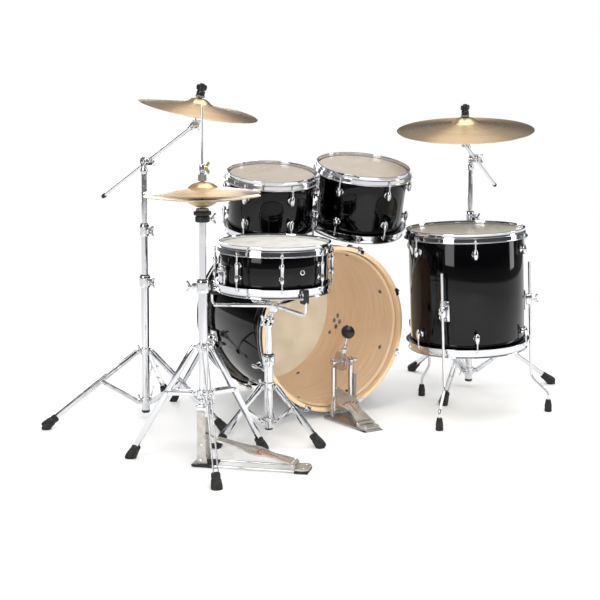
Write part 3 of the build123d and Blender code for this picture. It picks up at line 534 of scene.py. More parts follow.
class MouldedRubber(Finish):
    """Moulded black rubber: dark, dull, with a fine pebble and a little floor dust."""

    def dress(self, surface: Surface) -> None:
        """Add pebble and dust.

        Args:
            surface: Surface that takes the patterns.
        """
        dust = surface.noise((11, 11, 7), 4)
        surface.link(surface.blend(dust, self.colour, "#2b2a28", 0.4, 0.8), "Base Color")
        surface.bump(surface.noise((0.9, 0.9, 0.9), 2), 0.06, 0.6)


class WoolFelt(Finish):
    """Pressed wool felt: soft, fibrous and dull, paler where fibres stand up."""

    def dress(self, surface: Surface) -> None:
        """Add the fibres.

        Args:
            surface: Surface that takes the patterns.
        """
        fibre = surface.noise((0.7, 0.7, 2.4), 4)
        surface.link(surface.blend(fibre, self.colour, "#b9b4aa", 0.35, 0.8), "Base Color")
        surface.bump(fibre, 0.4, 0.8)


class MouldedNylon(Finish):
    """Injection-moulded nylon: satin, with a fine spark-eroded texture."""

    def dress(self, surface: Surface) -> None:
        """Add the mould texture and slight polish where hands touch.

        Args:
            surface: Surface that takes the patterns.
        """
        texture = surface.noise((0.8, 0.8, 0.8), 2)
        surface.bump(texture, 0.03, 0.5)
        touch = surface.noise((16, 16, 16), 3)
        surface.vary("Roughness", touch, self.roughness - 0.1, self.roughness + 0.12)


class CastAluminium(Finish):
    """Cast aluminium, tumbled and clear coated: warm grey metal with a soft sparkle and rubbed high spots."""

    def dress(self, surface: Surface) -> None:
        """Add casting grain and shoe polish.

        Args:
            surface: Surface that takes the patterns.
        """
        grain = surface.noise((1.1, 1.1, 1.1), 3)
        worn = surface.noise((28, 28, 28), 4)
        surface.link(surface.blend(worn, self.colour, "#a9a196", 0.35, 0.75), "Base Color")
        surface.vary("Roughness", grain, self.roughness - 0.08, self.roughness + 0.12)
        surface.bump(grain, 0.05, 0.5)


LACQUER = BlackLacquer("black_lacquer_polished", "#020203", 0.05, 0.0, (("Specular IOR Level", 0.3),))
MAPLE = ClearMaple("maple_sealed", "#f3d4b0", 0.36)
CHROME = ChromePlate("chrome_plated_steel", "#dcdde0", 0.06, 1.0)
STEEL = SatinSteel("steel_drawn", "#b4b4b6", 0.3, 1.0)
DARK_STEEL = SatinSteel("steel_blackened", "#3a3a3c", 0.38, 1.0)
BRONZE = LathedBronze("cymbal_bronze_lathed", "#dcc6aa", 0.31, 1.0, (("Anisotropic", 0.8),))
CLEAR_FILM = DrumFilm("polyester_film_clear", "#b9ae9a", 0.14, 0.0, (("Alpha", 0.1),))
# The toms' clear film, the same film as the bass batter above, is drawn whiter and more opaque: painted
# reflection of the white studio on the heads, over the film's own slight milkiness. The floor tom's head,
# level under the top light, gets the whitest and most opaque copy, a stronger painted reflection.
TOM_FILM_PAINTED_REFLECTION = DrumFilm("polyester_film_clear_painted_reflection", "#ebe3d9", 0.2, 0.0, (("Alpha", 0.72),), 0.3)
FLOOR_TOM_FILM_PAINTED_REFLECTION = DrumFilm("polyester_film_clear_painted_strong_reflection", "#f4f2ea", 0.2, 0.0, (("Alpha", 0.9),), 0.34)
CREAM_FILM = DrumFilm("polyester_film_cream", "#faf1e2", 0.3, 0.0, (), 0.75)
WHITE_COAT = CoatedFilm("polyester_film_coated", "#f4f3ee", 0.6, 0.0, (), 0.25)
ALUMINIUM = SatinSteel("aluminium_rolled", "#c9cacc", 0.28, 1.0)
RUBBER = MouldedRubber("rubber_moulded", "#0b0b0c", 0.62)
FELT = WoolFelt("wool_felt_pressed", "#151414", 0.95)
RED_FELT = WoolFelt("wool_felt_dyed", "#8c3a2c", 0.95)
NYLON = MouldedNylon("nylon_moulded", "#0d0d0e", 0.4)
CASTING = CastAluminium("aluminium_cast", "#c9c6c1", 0.36, 0.7)
RED_ENAMEL = MouldedNylon("enamel_red", "#a3221c", 0.3)
BRASS = SatinSteel("brass_turned", "#d9c08c", 0.25, 1.0)


# ------------------------------------------------------------------ mesh making


class Mould:
    """Collects the surfaces of one piece, in layout millimetres."""

    def __init__(self, *finishes: Finish) -> None:
        """Start an empty piece with its finishes, in slot order.

        Args:
            finishes: The finishes.
        """
        self.finishes = finishes
        self.bm = bmesh.new()
        self.uv = self.bm.loops.layers.uv.new("turning")

    def take(self, part: bmesh.types.BMesh, place: Matrix, finish: int) -> None:
        """Add another mesh to this one and free it.

        Args:
            part: Mesh to add.
            place: Where it goes.
            finish: Index of its finish.
        """
        copies = {v: self.bm.verts.new(place @ v.co) for v in part.verts}
        for face in part.faces:
            made = self.bm.faces.new([copies[v] for v in face.verts])
            made.material_index = finish
        part.free()

    def lathe(self, outline: Sequence[Point], place: Matrix = Matrix(), finish: int | Sequence[int] = 0,
              steps: int = 32, closed: bool = True) -> "Mould":
        """Turn an outline of (radius, height) points about z.

        Args:
            outline: The section's points.
            place: Where the turned shape goes.
            finish: Index of the finish, or one for each span of the outline.
            steps: Spans round the axis.
            closed: Whether the section's last point joins its first.

        Returns:
            This mould.
        """
        rings = []
        for radius, height in outline:
            if abs(radius) < 1e-6:
                rings.append([self.bm.verts.new(place @ Vector((0, 0, height)))] * steps)
                continue
            turns = [TURN * step / steps for step in range(steps)]
            ring = [Vector((radius * math.cos(a), radius * math.sin(a), height)) for a in turns]
            rings.append([self.bm.verts.new(place @ v) for v in ring])
        count = len(outline)
        travelled = 0.0
        for span in range(count if closed else count - 1):
            low, high = rings[span], rings[(span + 1) % count]
            length = (Vector(outline[(span + 1) % count]) - Vector(outline[span])).length * MM
            along = (travelled, travelled + length)
            travelled += length
            for step in range(steps):
                after = (step + 1) % steps
                corners = [(low[step], along[0], step), (low[after], along[0], step + 1),
                           (high[after], along[1], step + 1), (high[step], along[1], step)]
                seen: list[Any] = []
                kept = []
                for corner in corners:
                    if corner[0] not in seen:
                        seen.append(corner[0])
                        kept.append(corner)
                if len(kept) < 3:
                    continue
                face = self.bm.faces.new([c[0] for c in kept])
                face.material_index = finish if isinstance(finish, int) else finish[span]
                for loop, (_, distance, turn_at) in zip(face.loops, kept):
                    loop[self.uv].uv = (distance, turn_at / steps)
        return self

    def rod(self, start: Point, end: Point, radius: float, finish: int = 0, steps: int = 24,
            edge: float = 0.6, bore: float = 0.0) -> "Mould":
        """Round bar, or tube where it has a bore, with eased ends.

        Args:
            start: Centre of one end.
            end: Centre of the other end.
            radius: Outside radius.
            finish: Index of the finish.
            steps: Spans round the axis.
            edge: Size of the eased edge.
            bore: Inside radius.

        Returns:
            This mould.
        """
        run = Vector(end) - Vector(start)
        edge = min(edge, run.length * 0.45, (radius - bore) * 0.45)
        length = run.length
        outline = [(radius - edge, 0), (radius, edge), (radius, length - edge), (radius - edge, length)]
        outline = [(bore, 0), *outline, (bore, length)]
        return self.lathe(outline, frame_at(start, run), finish, steps, bore > 0)

    def rod_in(self, place: Matrix, start: Point, end: Point, radius: float, finish: int = 0,
               steps: int = 24, edge: float = 0.6) -> "Mould":
        """Round bar whose ends are given in a place's own directions."""
        return self.rod(place @ Vector(start), place @ Vector(end), radius, finish, steps, edge)

    def wire(self, points: Sequence[Point], radius: float, finish: int = 0, steps: int = 10) -> "Mould":
        """Round wire along a line of points, capped at both ends.

        Args:
            points: The centre line.
            radius: The wire's radius.
            finish: Index of the finish.
            steps: Spans round the wire.

        Returns:
            This mould.
        """
        line = [Vector(p) for p in points]
        ahead = (line[1] - line[0]).normalized()
        across = ahead.orthogonal().normalized()
        rings = []
        for index, centre in enumerate(line):
            nearby = (line[min(index + 1, len(line) - 1)] - line[max(index - 1, 0)]).normalized()
            across = (across - nearby * across.dot(nearby)).normalized()
            other = nearby.cross(across)
            turns = [TURN * step / steps for step in range(steps)]
            rings.append([self.bm.verts.new(centre + (across * math.cos(a) + other * math.sin(a)) * radius)
                          for a in turns])
        faces = []
        for low, high in zip(rings, rings[1:]):
            for step in range(steps):
                after = (step + 1) % steps
                faces.append(self.bm.faces.new((low[step], low[after], high[after], high[step])))
        faces.append(self.bm.faces.new(rings[0][::-1]))
        faces.append(self.bm.faces.new(rings[-1]))
        for face in faces:
            face.material_index = finish
        return self

    def coil(self, start: Point, end: Point, radius: float, wire: float, turns: int, finish: int = 0,
             around: int = 12, steps: int = 8) -> "Mould":
        """Helical spring between two points.

        Args:
            start: Centre of one end.
            end: Centre of the other end.
            radius: Radius of the turns, to the wire's centre.
            wire: The wire's radius.
            turns: Number of turns.
            finish: Index of the finish.
            around: Points for each turn.
            steps: Spans round the wire.

        Returns:
            This mould.
        """
        run = Vector(end) - Vector(start)
        place = frame_at(start, run)
        points = []
        for index in range(turns * around + 1):
            angle = TURN * index / around
            height = run.length * index / (turns * around)
            points.append(place @ Vector((radius * math.cos(angle), radius * math.sin(angle), height)))
        return self.wire(points, wire, finish, steps)

    def block(self, size: Point, place: Matrix = Matrix(), edge: float = 1.0, finish: int = 0,
              taper: float = 1.0) -> "Mould":
        """Box about its centre with rounded edges.

        Args:
            size: Length along x, y and z.
            place: Where the box goes.
            edge: Radius of its edges.
            finish: Index of the finish.
            taper: Share of the x and y size that is left at the top.

        Returns:
            This mould.
        """
        part = bmesh.new()
        bmesh.ops.create_cube(part, size=1.0)
        for vert in part.verts:
            shrink = taper if vert.co.z > 0 else 1.0
            vert.co = Vector((vert.co.x * size[0] * shrink, vert.co.y * size[1] * shrink,
                              vert.co.z * size[2]))
        edge = min(edge, min(size) * 0.45)
        bmesh.ops.bevel(part, geom=part.edges[:], offset=edge, segments=3, profile=0.5, affect="EDGES")
        self.take(part, place, finish)
        return self

    def plate(self, outlines: Sequence[Outline], low: float, high: float, place: Matrix = Matrix(),
              edge: float = 0.5, finish: int = 0) -> "Mould":
        """Flat plate with rounded edges; every outline after the first is a hole.

        Args:
            outlines: Closed outlines in the plate's plane.
            low: Height of the underside.
            high: Height of the top.
            place: Where the plate goes.
            edge: Radius of the plate's edges.
            finish: Index of the finish.

        Returns:
            This mould.
        """
        curve = bpy.data.curves.new("plate", "CURVE")
        curve.dimensions, curve.fill_mode = "2D", "BOTH"
        edge = min(edge, (high - low) * 0.45)
        curve.extrude, curve.bevel_depth, curve.bevel_resolution = (high - low) / 2 - edge, edge, 1
        curve.offset = -edge
        for outline in outlines:
            spline = curve.splines.new("POLY")
            spline.points.add(len(outline) - 1)
            for point, (x, y) in zip(spline.points, outline):
                point.co = (x, y, 0, 1)
            spline.use_cyclic_u = True
        holder = bpy.data.objects.new("plate", curve)
        bpy.context.scene.collection.objects.link(holder)
        mesh = bpy.data.meshes.new_from_object(holder.evaluated_get(bpy.context.evaluated_depsgraph_get()))
        part = bmesh.new()
        part.from_mesh(mesh)
        bmesh.ops.remove_doubles(part, verts=part.verts[:], dist=1e-4)
        bpy.data.objects.remove(holder)
        bpy.data.curves.remove(curve)
        bpy.data.meshes.remove(mesh)
        self.take(part, place @ at(0, 0, (low + high) / 2), finish)
        return self

    def bar(self, start: Point, end: Point, tall: float, thick: float, side: Point,
            finish: int = 0) -> "Mould":
        """Flat bar on edge with round ends about two points; side is the direction across it.

        Args:
            start: Centre of one round end.
            end: Centre of the other round end.
            tall: Height of the bar.
            thick: Thickness of the bar.
            side: Direction across the bar.
            finish: Index of the finish.

        Returns:
            This mould.
        """
        run = Vector(end) - Vector(start)
        place = frame_at(start, side, run)
        return self.plate([slot_outline(run.length, tall, 6)], -thick / 2, thick / 2, place, 0.7, finish)

    def level_cut(self, height: float = 0.0) -> "Mould":
        """Cut away everything below a height and close the cut.

        Args:
            height: Height of the cut.

        Returns:
            This mould.
        """
        geometry = self.bm.verts[:] + self.bm.edges[:] + self.bm.faces[:]
        cut = bmesh.ops.bisect_plane(self.bm, geom=geometry, plane_co=(0, 0, height), plane_no=(0, 0, 1),
                                     clear_inner=True)
        edges = [item for item in cut["geom_cut"] if isinstance(item, bmesh.types.BMEdge)]
        if edges:
            bmesh.ops.holes_fill(self.bm, edges=edges)
        return self

    def piece(self, name: str, body: str, slot: str, *nodes: str) -> bpy.types.Object:
        """Turn what was collected into a piece that rides on a body.

        Args:
            name: The piece's name.
            body: CAD body that it moves with.
            slot: The record's material slot; not used.
            nodes: CAD nodes that it stands for.

        Returns:
            The new object.
        """
        bmesh.ops.recalc_face_normals(self.bm, faces=self.bm.faces[:])
        for face in self.bm.faces:
            face.smooth = True
        for edge in self.bm.edges:
            edge.smooth = len(edge.link_faces) == 2 and edge.calc_face_angle() < SHARP_EDGE
        bmesh.ops.transform(self.bm, matrix=Matrix.Scale(MM, 4) @ Matrix.Translation(ORIGIN),
                            verts=self.bm.verts[:])
        mesh = bpy.data.meshes.new(name)
        self.bm.to_mesh(mesh)
        self.bm.free()
        for finish in self.finishes:
            mesh.materials.append(finish.material())
        made = bpy.data.objects.new(name, mesh)
        bpy.context.scene.collection.objects.link(made)
        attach(made, body)
        if nodes:
            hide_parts(*nodes)
        log.info("%s rides on %s", name, body)
        return made


# ------------------------------------------------------------------ shared hardware


def wing_bolt(mould: Mould, place: Matrix, reach: float = 12.0, finish: int = 0) -> None:
    """Wing bolt along the place's x axis, with its wings in the xz plane.

    Args:
        mould: Mould that takes it.
        place: Where its seat is.
        reach: Length of its stem.
        finish: Index of the finish.
    """
    mould.rod_in(place, (-1, 0, 0), (reach, 0, 0), 4.2, finish, 16)
    mould.rod_in(place, (reach - 5, 0, 0), (reach + 5, 0, 0), 6.2, finish, 20, 1.6)
    half = [(reach - 5, 3), (reach + 1, 12), (reach + 4, 18), (reach + 10, 18.5), (reach + 11, 12),
            (reach + 5, 2)]
    mould.plate([eased(mirrored(half), 3.0, 4)], -2.4, 2.4, place @ UPRIGHT, 1.6, finish)


def post_clamp(mould: Mould, centre: Point, azimuth: float, radius: float, bore: float, height: float,
               chrome: int = 0, nylon: int = 1) -> None:
    """Split collar with a boss and a wing bolt, over a nylon bush.

    Args:
        mould: Mould that takes it.
        centre: Middle of its lower face.
        azimuth: Side that the wing bolt is on, in degrees.
        radius: Outside radius.
        bore: Radius of the tube that it grips.
        height: Its height.
        chrome: Index of the metal finish.
        nylon: Index of the bush's finish.
    """
    place = at(*centre) @ spin(azimuth)
    side = eased([(bore, 0), (radius, 0), (radius + 1, height * 0.2), (radius + 1, height * 0.8),
                  (radius, height), (bore, height)], 1.6)
    mould.lathe(side, place, chrome, 40)
    for z in (height * 0.3, height * 0.7):
        band = [(radius + 0.6, z - 1.2), (radius + 1.7, z), (radius + 0.6, z + 1.2)]
        mould.lathe(band, place, chrome, 40, False)
    mould.lathe(eased([(bore - 2.4, height - 2), (radius - 1.5, height - 2), (radius - 2, height + 2.6),
                       (bore - 2.4, height + 3.2)], 0.8), place, nylon, 32)
    for y in (-4.2, 4.2):
        mould.block((15, 6.4, height * 0.6), place @ at(radius + 6, y, height / 2), 1.4, chrome)
    mould.rod_in(place, (radius + 7, -12, height / 2), (radius + 7, 12, height / 2), 3.4, chrome, 6)
    wing_bolt(mould, place @ at(radius + 12, 0, height / 2), 10, chrome)


def rivet(mould: Mould, point: Point, outward: Point, finish: int = 0, radius: float = 5.0,
          rise: float = 2.5) -> None:
    """Domed rivet head.

    Args:
        mould: Mould that takes it.
        point: Where its foot is.
        outward: Direction that it faces.
        finish: Index of the finish.
        radius: Its radius.
        rise: Its height.
    """
    dome = [(radius, 0), (radius, rise * 0.35), (radius * 0.78, rise * 0.8), (radius * 0.4, rise),
            (0, rise * 1.04)]
    mould.lathe(dome, frame_at(point, outward), finish, 16, False)


def threads(mould: Mould, place: Matrix, start: float, count: int) -> None:
    """Key rod's threads on the z axis, 2 mm apart so that they show; the real pitch is 0.8 mm."""
    for z in (start + 2 * step for step in range(count)):
        mould.lathe([(2.9, z - 0.7), (3.35, z), (2.9, z + 0.7)], place, 0, 14, False)


def toothed_ring(mould: Mould, place: Matrix, inner: float, outer: float, count: int, shift: float = 0.0,
                 thick: float = 1.0) -> None:
    """Ring of ratchet teeth about the place's z axis.

    Args:
        mould: Mould that takes them.
        place: Centre of the ring.
        inner: Radius to the roots.
        outer: Radius to the tips.
        count: Number of teeth.
        shift: Turn of the ring, in teeth.
        thick: Radius of one tooth.
    """
    for k in range(count):
        turned = place @ spin((k + shift) * 360 / count)
        mould.rod_in(turned, (inner, 0, 0), (outer, 0, 0), thick, 0, 6, 0.1)


@dataclass
class Tripod:
    """Double-braced tripod of twin flat bars, with its rubber feet."""

    name: str
    centre: tuple[float, float]
    phase: float
    reach: float
    legs_z: float
    braces_z: float
    tube_radius: float = 14.3
    bar_tall: float = 16.0
    bar_thick: float = 3.0
    ear: float = 30.0
    foot_length: float = 46.0

    def build(self, mould: Mould) -> None:
        """Add collars, legs and braces to a mould whose finishes are chrome and nylon.

        Args:
            mould: Mould that takes it.
        """
        centre = at(*self.centre)
        ankle_r, ankle_z = self.reach - 30, 34.0
        joint_r = self.ear + (ankle_r - self.ear) * 0.45
        joint_z = self.legs_z + (ankle_z - self.legs_z) * 0.45
        for z, half in ((self.legs_z, 5.2), (self.braces_z, 8.7)):
            self.collar(mould, centre, z, half)
        for k in range(3):
            place = centre @ spin(self.phase + 120 * k)
            across = place.to_3x3() @ Vector((0, 1, 0))
            for side in (-1, 1):
                joints = ((self.ear, self.legs_z), (joint_r, joint_z), (self.ear, self.braces_z))
                top, knee, low = [place @ Vector((r, 0, z)) for r, z in joints]
                ankle = place @ Vector((ankle_r + 6, 0, ankle_z - 3.5))
                mould.bar(top + across * 7 * side, ankle + across * 7 * side, self.bar_tall, self.bar_thick,
                          across)
                mould.bar(low + across * 10.5 * side, knee + across * 10.5 * side, self.bar_tall * 0.92,
                          self.bar_thick, across)
                for point, face in ((top, 8.5), (knee, 12.0), (low, 12.0)):
                    rivet(mould, point + across * face * side, across * side)
            slope = (ankle - top).normalized()
            for back, wide in ((18, 10.8), ((ankle - top).length * 0.24, 10.8)):
                spot = ankle - slope * (back + 10)
                mould.rod(spot - across * wide / 2, spot + across * wide / 2, 4.0, 0, 14)

    def collar(self, mould: Mould, centre: Matrix, z: float, half: float) -> None:
        """Add one collar with its three ears and its lock bolt.

        Args:
            mould: Mould that takes it.
            centre: Matrix to the floor under the tripod's middle.
            z: Height of the collar.
            half: Half the width of an ear.
        """
        bore, outer = self.tube_radius + 0.05, self.tube_radius + 5.5
        mould.lathe(eased([(bore, z - 13), (outer, z - 13), (outer, z + 13), (bore, z + 13)], 2.2), centre,
                    0, 40)
        for k in range(3):
            place = centre @ spin(self.phase + 120 * k, 0, z)
            outline = eased([(outer - 3, -8), (self.ear, -8), (self.ear + 7, 0), (self.ear, 8),
                             (outer - 3, 8)], 4)
            upright = place @ UPRIGHT
            mould.plate([outline], -half, half, upright, 1.0)
        wing_bolt(mould, centre @ spin(self.phase + 60, outer, z), 8)

    def feet(self, mould: Mould) -> None:
        """Add the three rubber feet, cut flat at the floor.

        Args:
            mould: Mould that takes it.
        """
        ankle_r, ankle_z = self.reach - 30, 34.0
        slope = Vector((ankle_r - self.ear, 0, ankle_z - self.legs_z)).normalized()
        length = self.foot_length
        shape = [(0, -8), (11.5, -8), (13.8, -5), (14.2, 5), (13.2, 8), (15.2, 12), (17.6, length * 0.72),
                 (17.2, length * 0.94), (13.5, length + 2), (0, length + 3)]
        for k in range(3):
            place = at(*self.centre) @ spin(self.phase + 120 * k)
            start = Vector((ankle_r, 0, ankle_z))
            mould.lathe(shape, place @ frame_at(start, slope, (0, 1, 0)), 0, 28, False)
            end = start + slope * length
            sole = [(0, 0), (14.5, 0), (16.5, 1.5), (16.8, 7), (13, max(end.z - 6, 13)),
                    (0, max(end.z - 4, 14))]
            mould.lathe(sole, place @ at(end.x - 8, 0, 0), 0, 28, False)


# ------------------------------------------------------------------ drums


@dataclass
class Drum:
    """Drum that stands or hangs with its batter head on top."""

    name: str
    top: tuple[float, float, float]
    lean: tuple[float, float]
    phase: float
    radius: float
    depth: float
    lugs: int = 6
    ply: float = 7.0
    rod_offset: float = 15.0
    rim_rise: float = 12.0
    # Default batter: clear film drawn whiter and more opaque, a painted reflection on the head.
    batter: Finish = TOM_FILM_PAINTED_REFLECTION
    body: str = ""

    def place(self) -> Matrix:
        """Matrix to the batter bearing edge, z out of the head."""
        up = Vector((*self.lean, 1)).normalized()
        return frame_at(Vector(self.top) - up * self.rim_rise, up)

    def under(self) -> Matrix:
        """Matrix to the resonant bearing edge, z out of its head."""
        return self.place() @ at(0, 0, -self.depth) @ TURNED_OVER

    def azimuths(self) -> list[float]:
        """Azimuths of the lugs."""
        return [self.phase + 360 / self.lugs * k for k in range(self.lugs)]

    def build(self) -> None:
        """Build every piece of the drum."""
        body = self.body or self.name
        self.shell(Mould(LACQUER, MAPLE), self.place()).piece(self.name + "_shell_turned", body,
                                                              "black_lacquered_maple", self.name + "_shell")
        heads = Mould(self.batter, ALUMINIUM)
        self.head(heads, self.place())
        self.head(heads, self.under())
        slot = "coated_film" if self.batter is WHITE_COAT else "clear_film"
        heads.piece(self.name + "_heads_drawn", body, slot, self.name + "_heads")
        rims = Mould(CHROME)
        self.rim(rims, self.place(), self.azimuths())
        self.rim(rims, self.under(), [-a for a in self.azimuths()])
        rims.piece(self.name + "_rims", body, "steel_rim", self.name + "_hoops")
        hardware = Mould(CHROME, NYLON, MAPLE)
        self.hardware(hardware)
        hardware.piece(self.name + "_fittings", body, "chrome", self.name + "_hardware")

    def shell(self, mould: Mould, place: Matrix) -> Mould:
        """Turned shell: lacquer outside, bare maple on the edges and inside.

        Args:
            mould: Mould that takes it.
            place: Matrix to the bearing edge, z out of the head.

        Returns:
            The mould.
        """
        radius, depth, ply = self.radius, self.depth, self.ply
        points = [(radius, -1.4), (radius - 0.6, -0.3), (radius - 1.6, 0), (radius - ply, 1 - ply),
                  (radius - ply, ply - 1 - depth), (radius - 1.6, -depth), (radius - 0.6, 0.3 - depth),
                  (radius, 1.4 - depth)]
        return mould.lathe(points, place, [1, 1, 1, 1, 1, 1, 1, 0], 144)

    def head(self, mould: Mould, place: Matrix) -> None:
        """Film over the bearing edge, with its collar and its aluminium flesh hoop.

        Args:
            mould: Mould that takes it.
            place: Matrix to the bearing edge, z out of the head.
        """
        r = self.radius
        film = [(0, 0.6), (r * 0.5, 0.6), (r - 6, 0.6), (r - 1, 0.6), (r + 0.5, 0.3), (r + 0.9, -0.8),
                (r + 0.9, -7), (r + 0.6, -7), (r + 0.5, -0.8), (r + 0.2, 0.1), (r - 1, 0.3), (r - 6, 0.3),
                (r * 0.5, 0.3), (0, 0.3)]
        mould.lathe(film, place, 0, 144, False)
        flesh_hoop = eased([(r + 0.5, -12), (r + 7.4, -12), (r + 7.4, -5.3), (r + 0.95, -5.3)], 0.8)
        mould.lathe(flesh_hoop, place, 1, 144)

    def rim(self, mould: Mould, place: Matrix, azimuths: Iterable[float]) -> None:
        """Triple-flanged steel hoop with an ear at each key rod.

        Args:
            mould: Mould that takes it.
            place: Matrix to the bearing edge, z out of the head.
            azimuths: Azimuths of the key rods.
        """
        r = self.radius
        section = [(r + 17, -20), (r + 17, -18), (r + 10, -18), (r + 10, -3), (r + 5, -3), (r + 5, 10),
                   (r + 9, 10), (r + 9, 12), (r + 3, 12), (r + 3, -5), (r + 8, -5), (r + 8, -20)]
        mould.lathe(eased(section, 1.5, 2), place, 0, 144)
        for azimuth in azimuths:
            ear = eased([(r + 9, -11), (r + 16, -9.5), (r + 21.5, -6), (r + 21.5, 6), (r + 16, 9.5),
                         (r + 9, 11)], 4, 4)
            mould.plate([ear], -20.4, -17.9, place @ spin(azimuth), 0.8)

    def key_rod(self, mould: Mould, place: Matrix, lug_top: float) -> None:
        """Key rod on the place's z axis, from the lug up through the rim's ear.

        Args:
            mould: Mould that takes it.
            place: Matrix to the key rod's axis, z towards the rim.
            lug_top: Height of the lug's top.
        """
        mould.rod_in(place, (0, 0, lug_top - 2), (0, 0, -17.5), 3.0, 0, 14, 0.1)
        threads(mould, place, lug_top + 1, int((-18 - lug_top) / 2))
        mould.lathe(eased([(3, -18), (4.9, -18), (4.9, -16.4), (3, -16.4)], 0.4), place, 0, 20)
        mould.lathe([(0, -16.4), (4.3, -16.4), (4.3, -14), (3.6, -12.6), (0, -12.4)], place, 0, 20, False)
        mould.block((6, 6, 8.4), place @ at(0, 0, -8.6), 0.7, 0, 0.94)

    def lug(self, mould: Mould, place: Matrix, top: float = -40.0, bottom: float = -76.0) -> None:
        """Small cast teardrop lug: smooth barrel, neck and shell flange, over a black gasket.

        Args:
            mould: Mould that takes it.
            place: Matrix to the bearing edge, turned to the lug's side.
            top: Height of the lug's top.
            bottom: Height of the lug's bottom.
        """
        middle = (top + bottom) / 2
        r, out = self.radius, self.rod_offset
        side = curved([(0.01, bottom - 0.6), (4.2, bottom + 1.2), (7.8, bottom + 8), (8.8, middle),
                       (7.6, top - 9), (5.4, top - 1.5), (4.2, top), (3.0, top)])
        mould.lathe(side, place @ at(r + out, 0, 0), 0, 24, False)
        neck = frame_at((r + 0.15, 0, middle), (1, 0, 0), (0, 0, 1))
        mould.lathe(eased([(0, 0), (11.6, 0), (11.6, 1.2), (0, 1.2)], 0.4), place @ neck, 1, 24)
        flare = [(0, 1.1), (11, 1.1), (11.2, 2.2), (9.6, 3.6), (8.2, 6), (7.6, out), (0, out)]
        mould.lathe(flare, place @ neck, 0, 24, False)

    def hardware(self, mould: Mould) -> None:
        """Lugs and key rods of both heads.

        Args:
            mould: Mould that takes it.
        """
        for place, sign in ((self.place(), 1), (self.under(), -1)):
            for azimuth in self.azimuths():
                turned = place @ spin(sign * azimuth)
                self.lug(mould, turned)
                self.key_rod(mould, turned @ at(self.radius + self.rod_offset), -40.0)


@dataclass
class RackTom(Drum):
    """Tom that hangs from the holder on the bass drum."""

    side: int = 1

    def hardware(self, mould: Mould) -> None:
        """Lugs, key rods, shell bracket and L-rod.

        Args:
            mould: Mould that takes it.
        """
        super().hardware(mould)
        pivot, _ = joint_place(self.name + "_tilt")
        up = Vector((*self.lean, 1)).normalized()
        centre = self.place() @ Vector((0, 0, -self.depth / 2))
        toward = pivot - centre
        toward = (toward - up * toward.dot(up)).normalized()
        face = frame_at(centre + toward * (self.radius + 0.3), toward, up)
        mould.block((60, 36, 2), face @ at(0, 0, 1.0), 0.9, 1)
        mould.block((58, 34, 5), face @ at(0, 0, 4.2), 2.2)
        mould.block((36, 26, 18), face @ at(0, 0, 14), 4.5, 0, 0.82)
        for x in (-23.5, 23.5):
            rivet(mould, face @ Vector((x, 0, 6.6)), toward, 0, 4.5, 3)
        mould.rod_in(face, (0, 0, 12), (0, 0, 27), 10.5, 0, 28, 2)
        inner = pivot + Vector((self.side * 0.4, 0, 0))
        outer = pivot + Vector((self.side * 18, 0, 0))
        mould.rod(inner, outer, 17.6, 0, 40, 2.5)
        toothed_ring(mould, frame_at(pivot + Vector((self.side * 2.2, 0, 0)), (1, 0, 0)), 15.4, 18.2, 30, 0,
                     1.1)
        link_start = pivot + Vector((self.side * 9, 0, 0))
        link_end = face @ Vector((0, 0, 20))
        knee = link_start.lerp(link_end, 0.35) + Vector((0, 0, 3))
        mould.wire(smooth_line([link_start, knee, link_end], 8), 6.1, 0, 18)
        wing_bolt(mould, frame_at(outer - Vector((self.side, 0, 0)), (0, 0, 1), (self.side, 0, 0)), 6)


@dataclass
class FloorTom(Drum):
    """Tom that slides on its own three legs."""

    leg_azimuths: tuple[float, ...] = (90.0, -30.0, -150.0)
    leg_centre: tuple[float, float] = (446.0, -228.0)
    foot_radius: float = 285.0
    rod: float = 5.0
    knee_z: float = 125.0
    elbow_z: float = 66.0

    def hardware(self, mould: Mould) -> None:
        """Lugs, key rods and the three leg brackets.

        Args:
            mould: Mould that takes it.
        """
        super().hardware(mould)
        for azimuth in self.leg_azimuths:
            place = self.place() @ spin(azimuth, self.radius, -self.depth * 0.63)
            mould.block((1.4, 36, 72), place @ at(0.9, 0, 0), 0.6, 1)
            mould.block((5, 34, 70), place @ at(4.0, 0, 0), 2.2)
            mould.block((26, 24, 38), place @ at(19, 0, 0), 7)
            for z in (-27, 27):
                rivet(mould, place @ Vector((6.4, 0, z)), place.to_3x3() @ Vector((1, 0, 0)), 0, 4.5, 3)
            mould.rod_in(place, (25, 0, -20.5), (25, 0, 20.5), 8.5, 0, 24, 1.5)
            wing_bolt(mould, place @ at(33, 0, 0), 11)

    def legs(self, feet: Mould) -> None:
        """The three bent legs, with their rubber feet put into the shared mould.
        """
        mould = Mould(CHROME)
        up = Vector((*self.lean, 1)).normalized()
        for azimuth in self.leg_azimuths:
            through = self.place() @ spin(azimuth, self.radius, -self.depth * 0.63) @ Vector((25, 0, 0))
            top = through + up * 135
            knee = top - up * (top.z - self.knee_z)
            foot = Vector((*self.leg_centre, 0)) + polar(azimuth) * self.foot_radius
            elbow, ankle = foot + Vector((0, 0, self.elbow_z)), foot + Vector((0, 0, 24))
            mould.wire(bent_line([top, knee, elbow, ankle], 14), self.rod, 0, 16)
            mould.lathe([(0, 1.2), (3, 0.9), (4.6, 0), (4.9, -1)], frame_at(top, up), 0, 16, False)
            for step in range(26):
                spot = top - up * (8 + step * 7)
                mould.lathe([(4.9, -1.6), (5.25, -1), (5.25, 1), (4.9, 1.6)], frame_at(spot, up), 0, 16,
                            False)
            shape = [(0, 0), (11.5, 0), (13, 1.5), (13, 10), (11.6, 13), (13, 16), (12.4, 26), (9.5, 40),
                     (7.6, 44), (0, 44.5)]
            feet.lathe(shape, at(ankle.x, ankle.y, 0), 0, 28, False)
        mould.piece("floor_tom_bent_legs", "root", "chrome", "floor_tom_legs")


